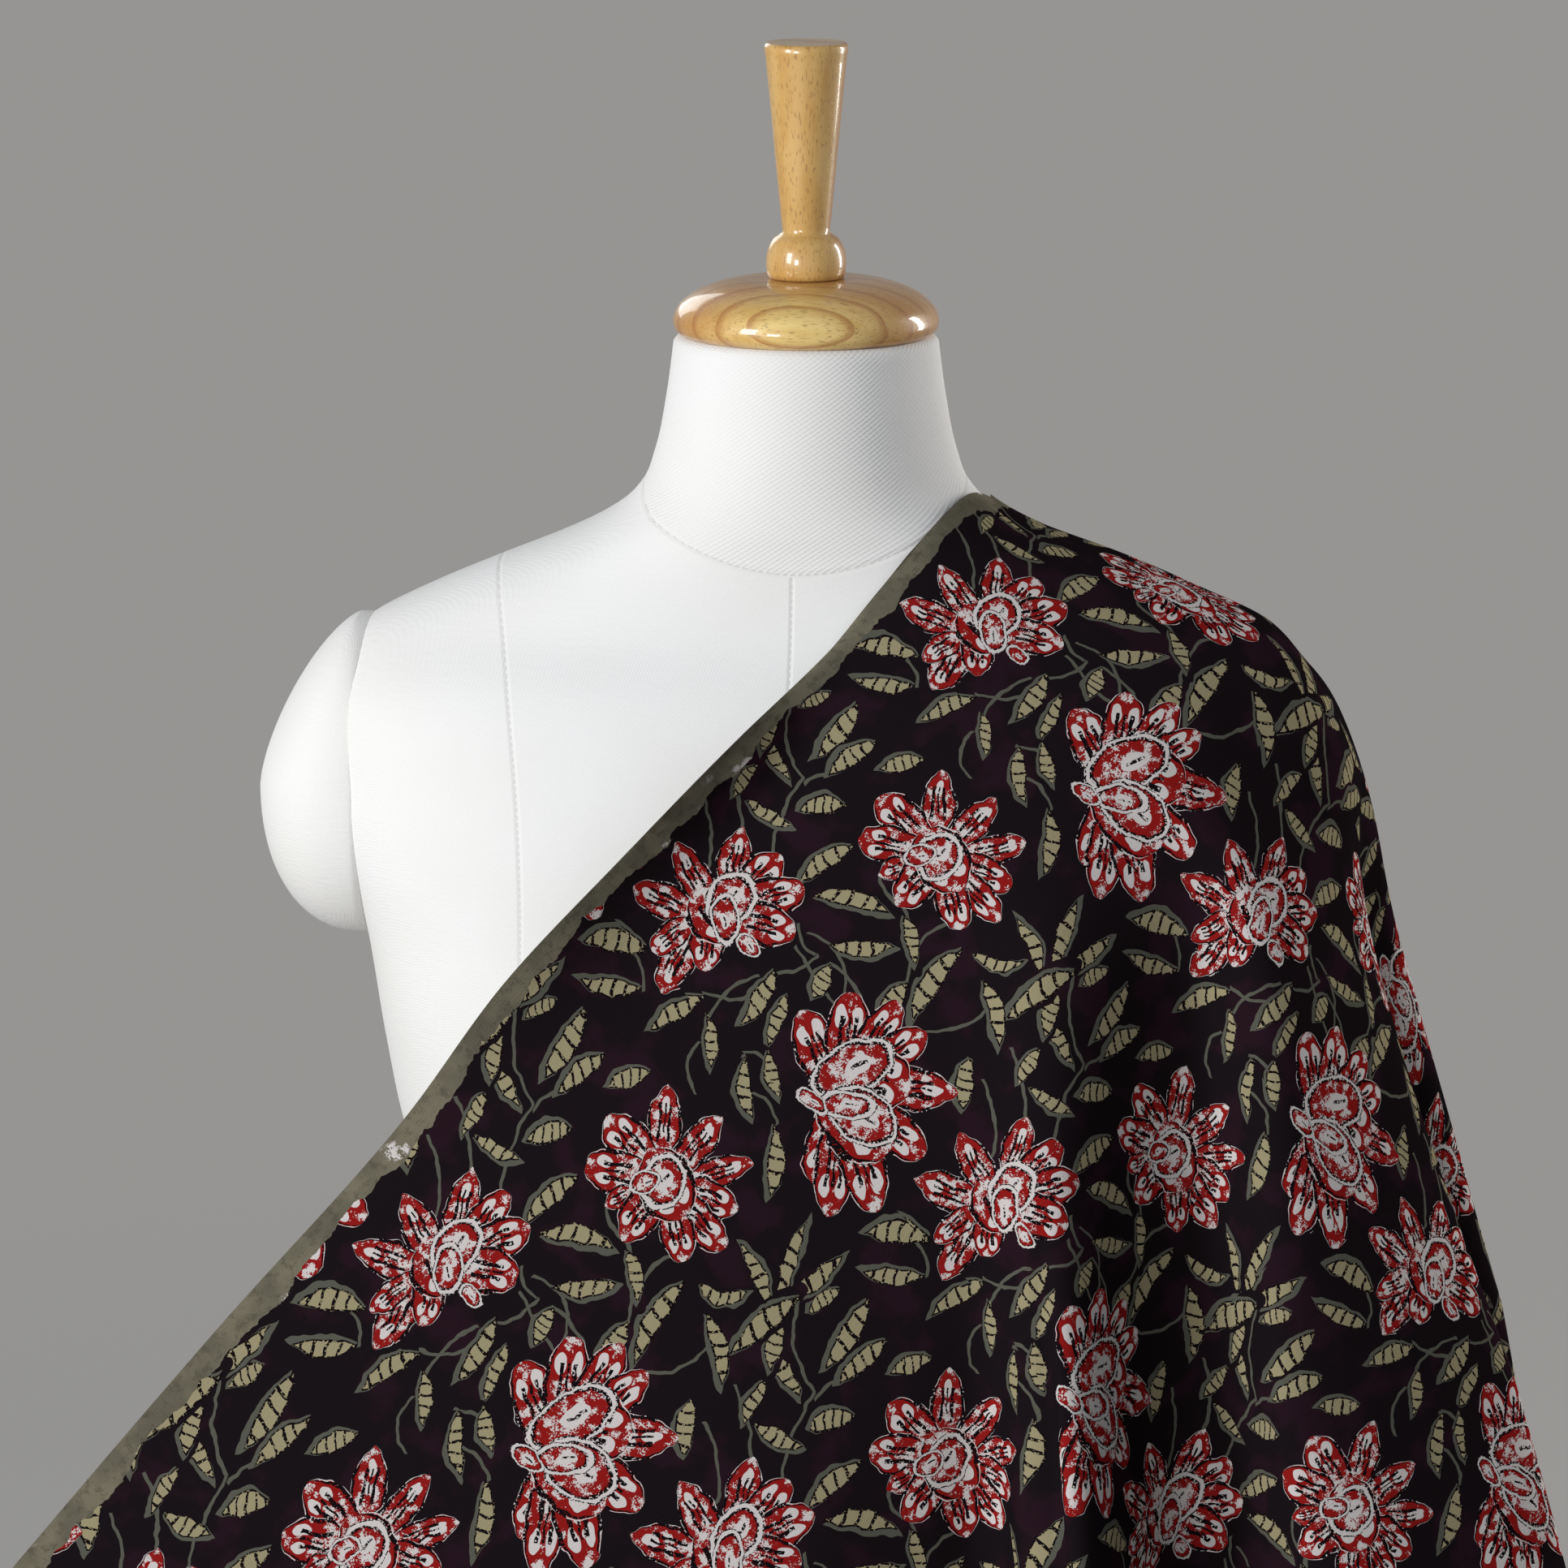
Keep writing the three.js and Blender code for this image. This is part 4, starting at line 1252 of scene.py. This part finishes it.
def wood_grain():
    """A group for the wood: rings as nested shells round a centre, streaks and pores."""
    tree, given, result = new_group(
        "wood_grain",
        [("Place", "Vector"), ("Centre", "Vector"), ("Squash", "Vector"), ("Grain", "Vector"),
         ("Sapwood", "Float")],
        [("Color", "Color"), ("Height", "Float"), ("Roughness", "Float")],
    )
    away = vector(tree, "SUBTRACT", given["Place"], given["Centre"])
    away = vector(tree, "MULTIPLY", away, given["Squash"])
    bent = noise(tree, away, 26, 2, flat=False)
    radius = times_plus(tree, bent, RING_WAVE, vector(tree, "LENGTH", away))
    ring = fraction(tree, product(tree, radius, RINGS))
    late = product(tree, ramp(tree, ring, 0.62, 0.93), ramp(tree, ring, 0.93, 1.0, 1.0, 0.0))
    drawn_out = vector(tree, "MULTIPLY", given["Place"], given["Grain"])
    streaks = noise(tree, drawn_out, 150, 4, 0.6, flat=False)
    pore = ramp(tree, noise(tree, drawn_out, 1500, 1, flat=False), 0.60, 0.67)
    color = blend(tree, ramp(tree, streaks, 0.30, 0.70), HONEY, TAN)
    # away from the pale middle of a ring pattern the wood turns browner
    browner = ratio(tree, less(tree, radius, given["Sapwood"]), SAPWOOD_FADE)
    color = blend(tree, product(tree, ramp(tree, browner, 0.0, 1.0), 0.74), color, BROWN)
    color = blend(tree, product(tree, late, 0.66), color, LATE_WOOD)
    color = blend(tree, product(tree, pore, 0.45), color, PORE)
    feed(tree, result["Color"], color)
    feed(tree, result["Height"], product(tree, pore, -1.0))
    feed(tree, result["Roughness"], ramp(tree, streaks, 0.3, 0.7, 0.30, 0.42))
    return tree


# %% Wood materials
wood_group = wood_grain()


def wood_material(name, **pattern):
    material, tree, shader = new_material(name)
    made = placed_group(tree, wood_group, Place=object_place(tree), **pattern)
    finish(tree, shader, made["Color"], made, relief=0.00008, strength=0.5)
    shader.inputs["Coat Weight"].default_value = 0.7
    shader.inputs["Coat Roughness"].default_value = 0.07
    return material


cap_wood = wood_material(
    "cap_wood", Centre=(0.000, -0.064, 0.7585), Squash=(0.52, 0.75, 1.15), Grain=(0.12, 1.0, 1.0),
    Sapwood=0.012,
)
handle_wood = wood_material(
    "handle_wood", Centre=(0.030, 0.060, 0.70), Squash=(0.20, 0.20, 0.01), Grain=(1.0, 1.0, 0.16),
    Sapwood=0.004,
)
print("wood materials:", cap_wood.name, "and", handle_wood.name)

# %% [markdown]
# ## Floor, backdrop and light
#
# The form stands on a plain pale floor in front of a grey paper sweep. The floor is a wide sheet. Close to
# the object it is plain paint that keeps its shadow, and further out it fades into the same grey as the
# world behind it, so no horizon shows from any side. Two large soft lamps light the form from the front,
# a tall narrow one from behind on the right gives the bright edges, and the world fills the shadows.

# %% Floor and world
BACKDROP, FLOOR_GREY = paint(150, 149, 147), paint(166, 165, 163)
FLOOR_HALF = 7
PLAIN_TO, GREY_FROM = 0.45, 1.7  # metres from the form

mesh = bmesh.new()
bmesh.ops.create_grid(mesh, x_segments=8, y_segments=8, size=FLOOR_HALF)
floor = finished("floor", mesh)
sweep, tree, shader = new_material("paper_sweep")
shader.inputs["Base Color"].default_value = FLOOR_GREY
shader.inputs["Roughness"].default_value = 0.9
glow = tree.nodes.new("ShaderNodeEmission")
glow.inputs["Color"].default_value = BACKDROP
mixed = tree.nodes.new("ShaderNodeMixShader")
distance = vector(tree, "LENGTH", object_place(tree))
feed(tree, mixed.inputs[0], ramp(tree, distance, PLAIN_TO, GREY_FROM))
tree.links.new(shader.outputs[0], mixed.inputs[1])
tree.links.new(glow.outputs[0], mixed.inputs[2])
tree.links.new(mixed.outputs[0], tree.nodes["Material Output"].inputs["Surface"])
floor.data.materials.append(sweep)

world = bpy.data.worlds.new("studio")
bpy.context.scene.world = world
world.use_nodes = True
tree = world.node_tree
shown = tree.nodes["Background"]
shown.inputs["Color"].default_value = BACKDROP
filling = tree.nodes.new("ShaderNodeBackground")
filling.inputs["Color"].default_value = (0.80, 0.86, 0.95, 1)
filling.inputs["Strength"].default_value = 0.23
rays = tree.nodes.new("ShaderNodeLightPath")
mixed = tree.nodes.new("ShaderNodeMixShader")
# a camera, a mirror and a pane all show the backdrop, and only its light on matt surfaces is set apart
seen = [rays.outputs[f"Is {kind} Ray"] for kind in ("Camera", "Glossy", "Transmission")]
feed(tree, mixed.inputs[0], largest(tree, *seen))
tree.links.new(filling.outputs[0], mixed.inputs[1])
tree.links.new(shown.outputs[0], mixed.inputs[2])
tree.links.new(mixed.outputs[0], tree.nodes["World Output"].inputs["Surface"])
print("world and floor in the same grey")


# %% Lamps
MIDDLE = (0.0, 0.0, 0.5)


def lamp(name, place, width, height, power, color=(1, 1, 1)):
    """A soft lamp that shines at the form's middle and isn't seen itself."""
    data = bpy.data.lights.new(name, "AREA")
    data.shape = "RECTANGLE"
    data.size, data.size_y = width, height
    data.energy = power
    data.color = color
    light = bpy.data.objects.new(name, data)
    light.location = place
    light.rotation_euler = (Vector(place) - Vector(MIDDLE)).to_track_quat("Z", "Y").to_euler()
    light.visible_camera = False
    bpy.context.scene.collection.objects.link(light)


lamp("key", (-2.3, -2.1, 1.5), width=0.8, height=1.4, power=70)
lamp("front", (-1.3, -2.9, 1.0), width=0.6, height=0.6, power=31)
lamp("edge", (2.0, 1.2, 1.1), width=0.36, height=1.6, power=37, color=(1.0, 0.95, 0.89))
lamp("back_fill", (-1.4, 2.4, 1.6), width=1.2, height=1.2, power=12)
bpy.context.scene.view_settings.view_transform = "Standard"

# %% [markdown]
# ## Joining the pieces to the model
#
# Each piece gets its material, rides on the one fixed body and takes the place of the plain solid with
# the same shape.

# %% Dress the model
dressed = [
    (torso, "torso", canvas), (arms["arm_left"], "arm_left", arm_canvas),
    (arms["arm_right"], "arm_right", arm_canvas), (cap, "neck_cap", cap_wood),
    (finial, "finial", handle_wood), (cloth, "printed_cloth", cotton),
]
for piece, node, material in dressed:
    piece.data.materials.append(material)
    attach(piece, "root")
    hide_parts(node)
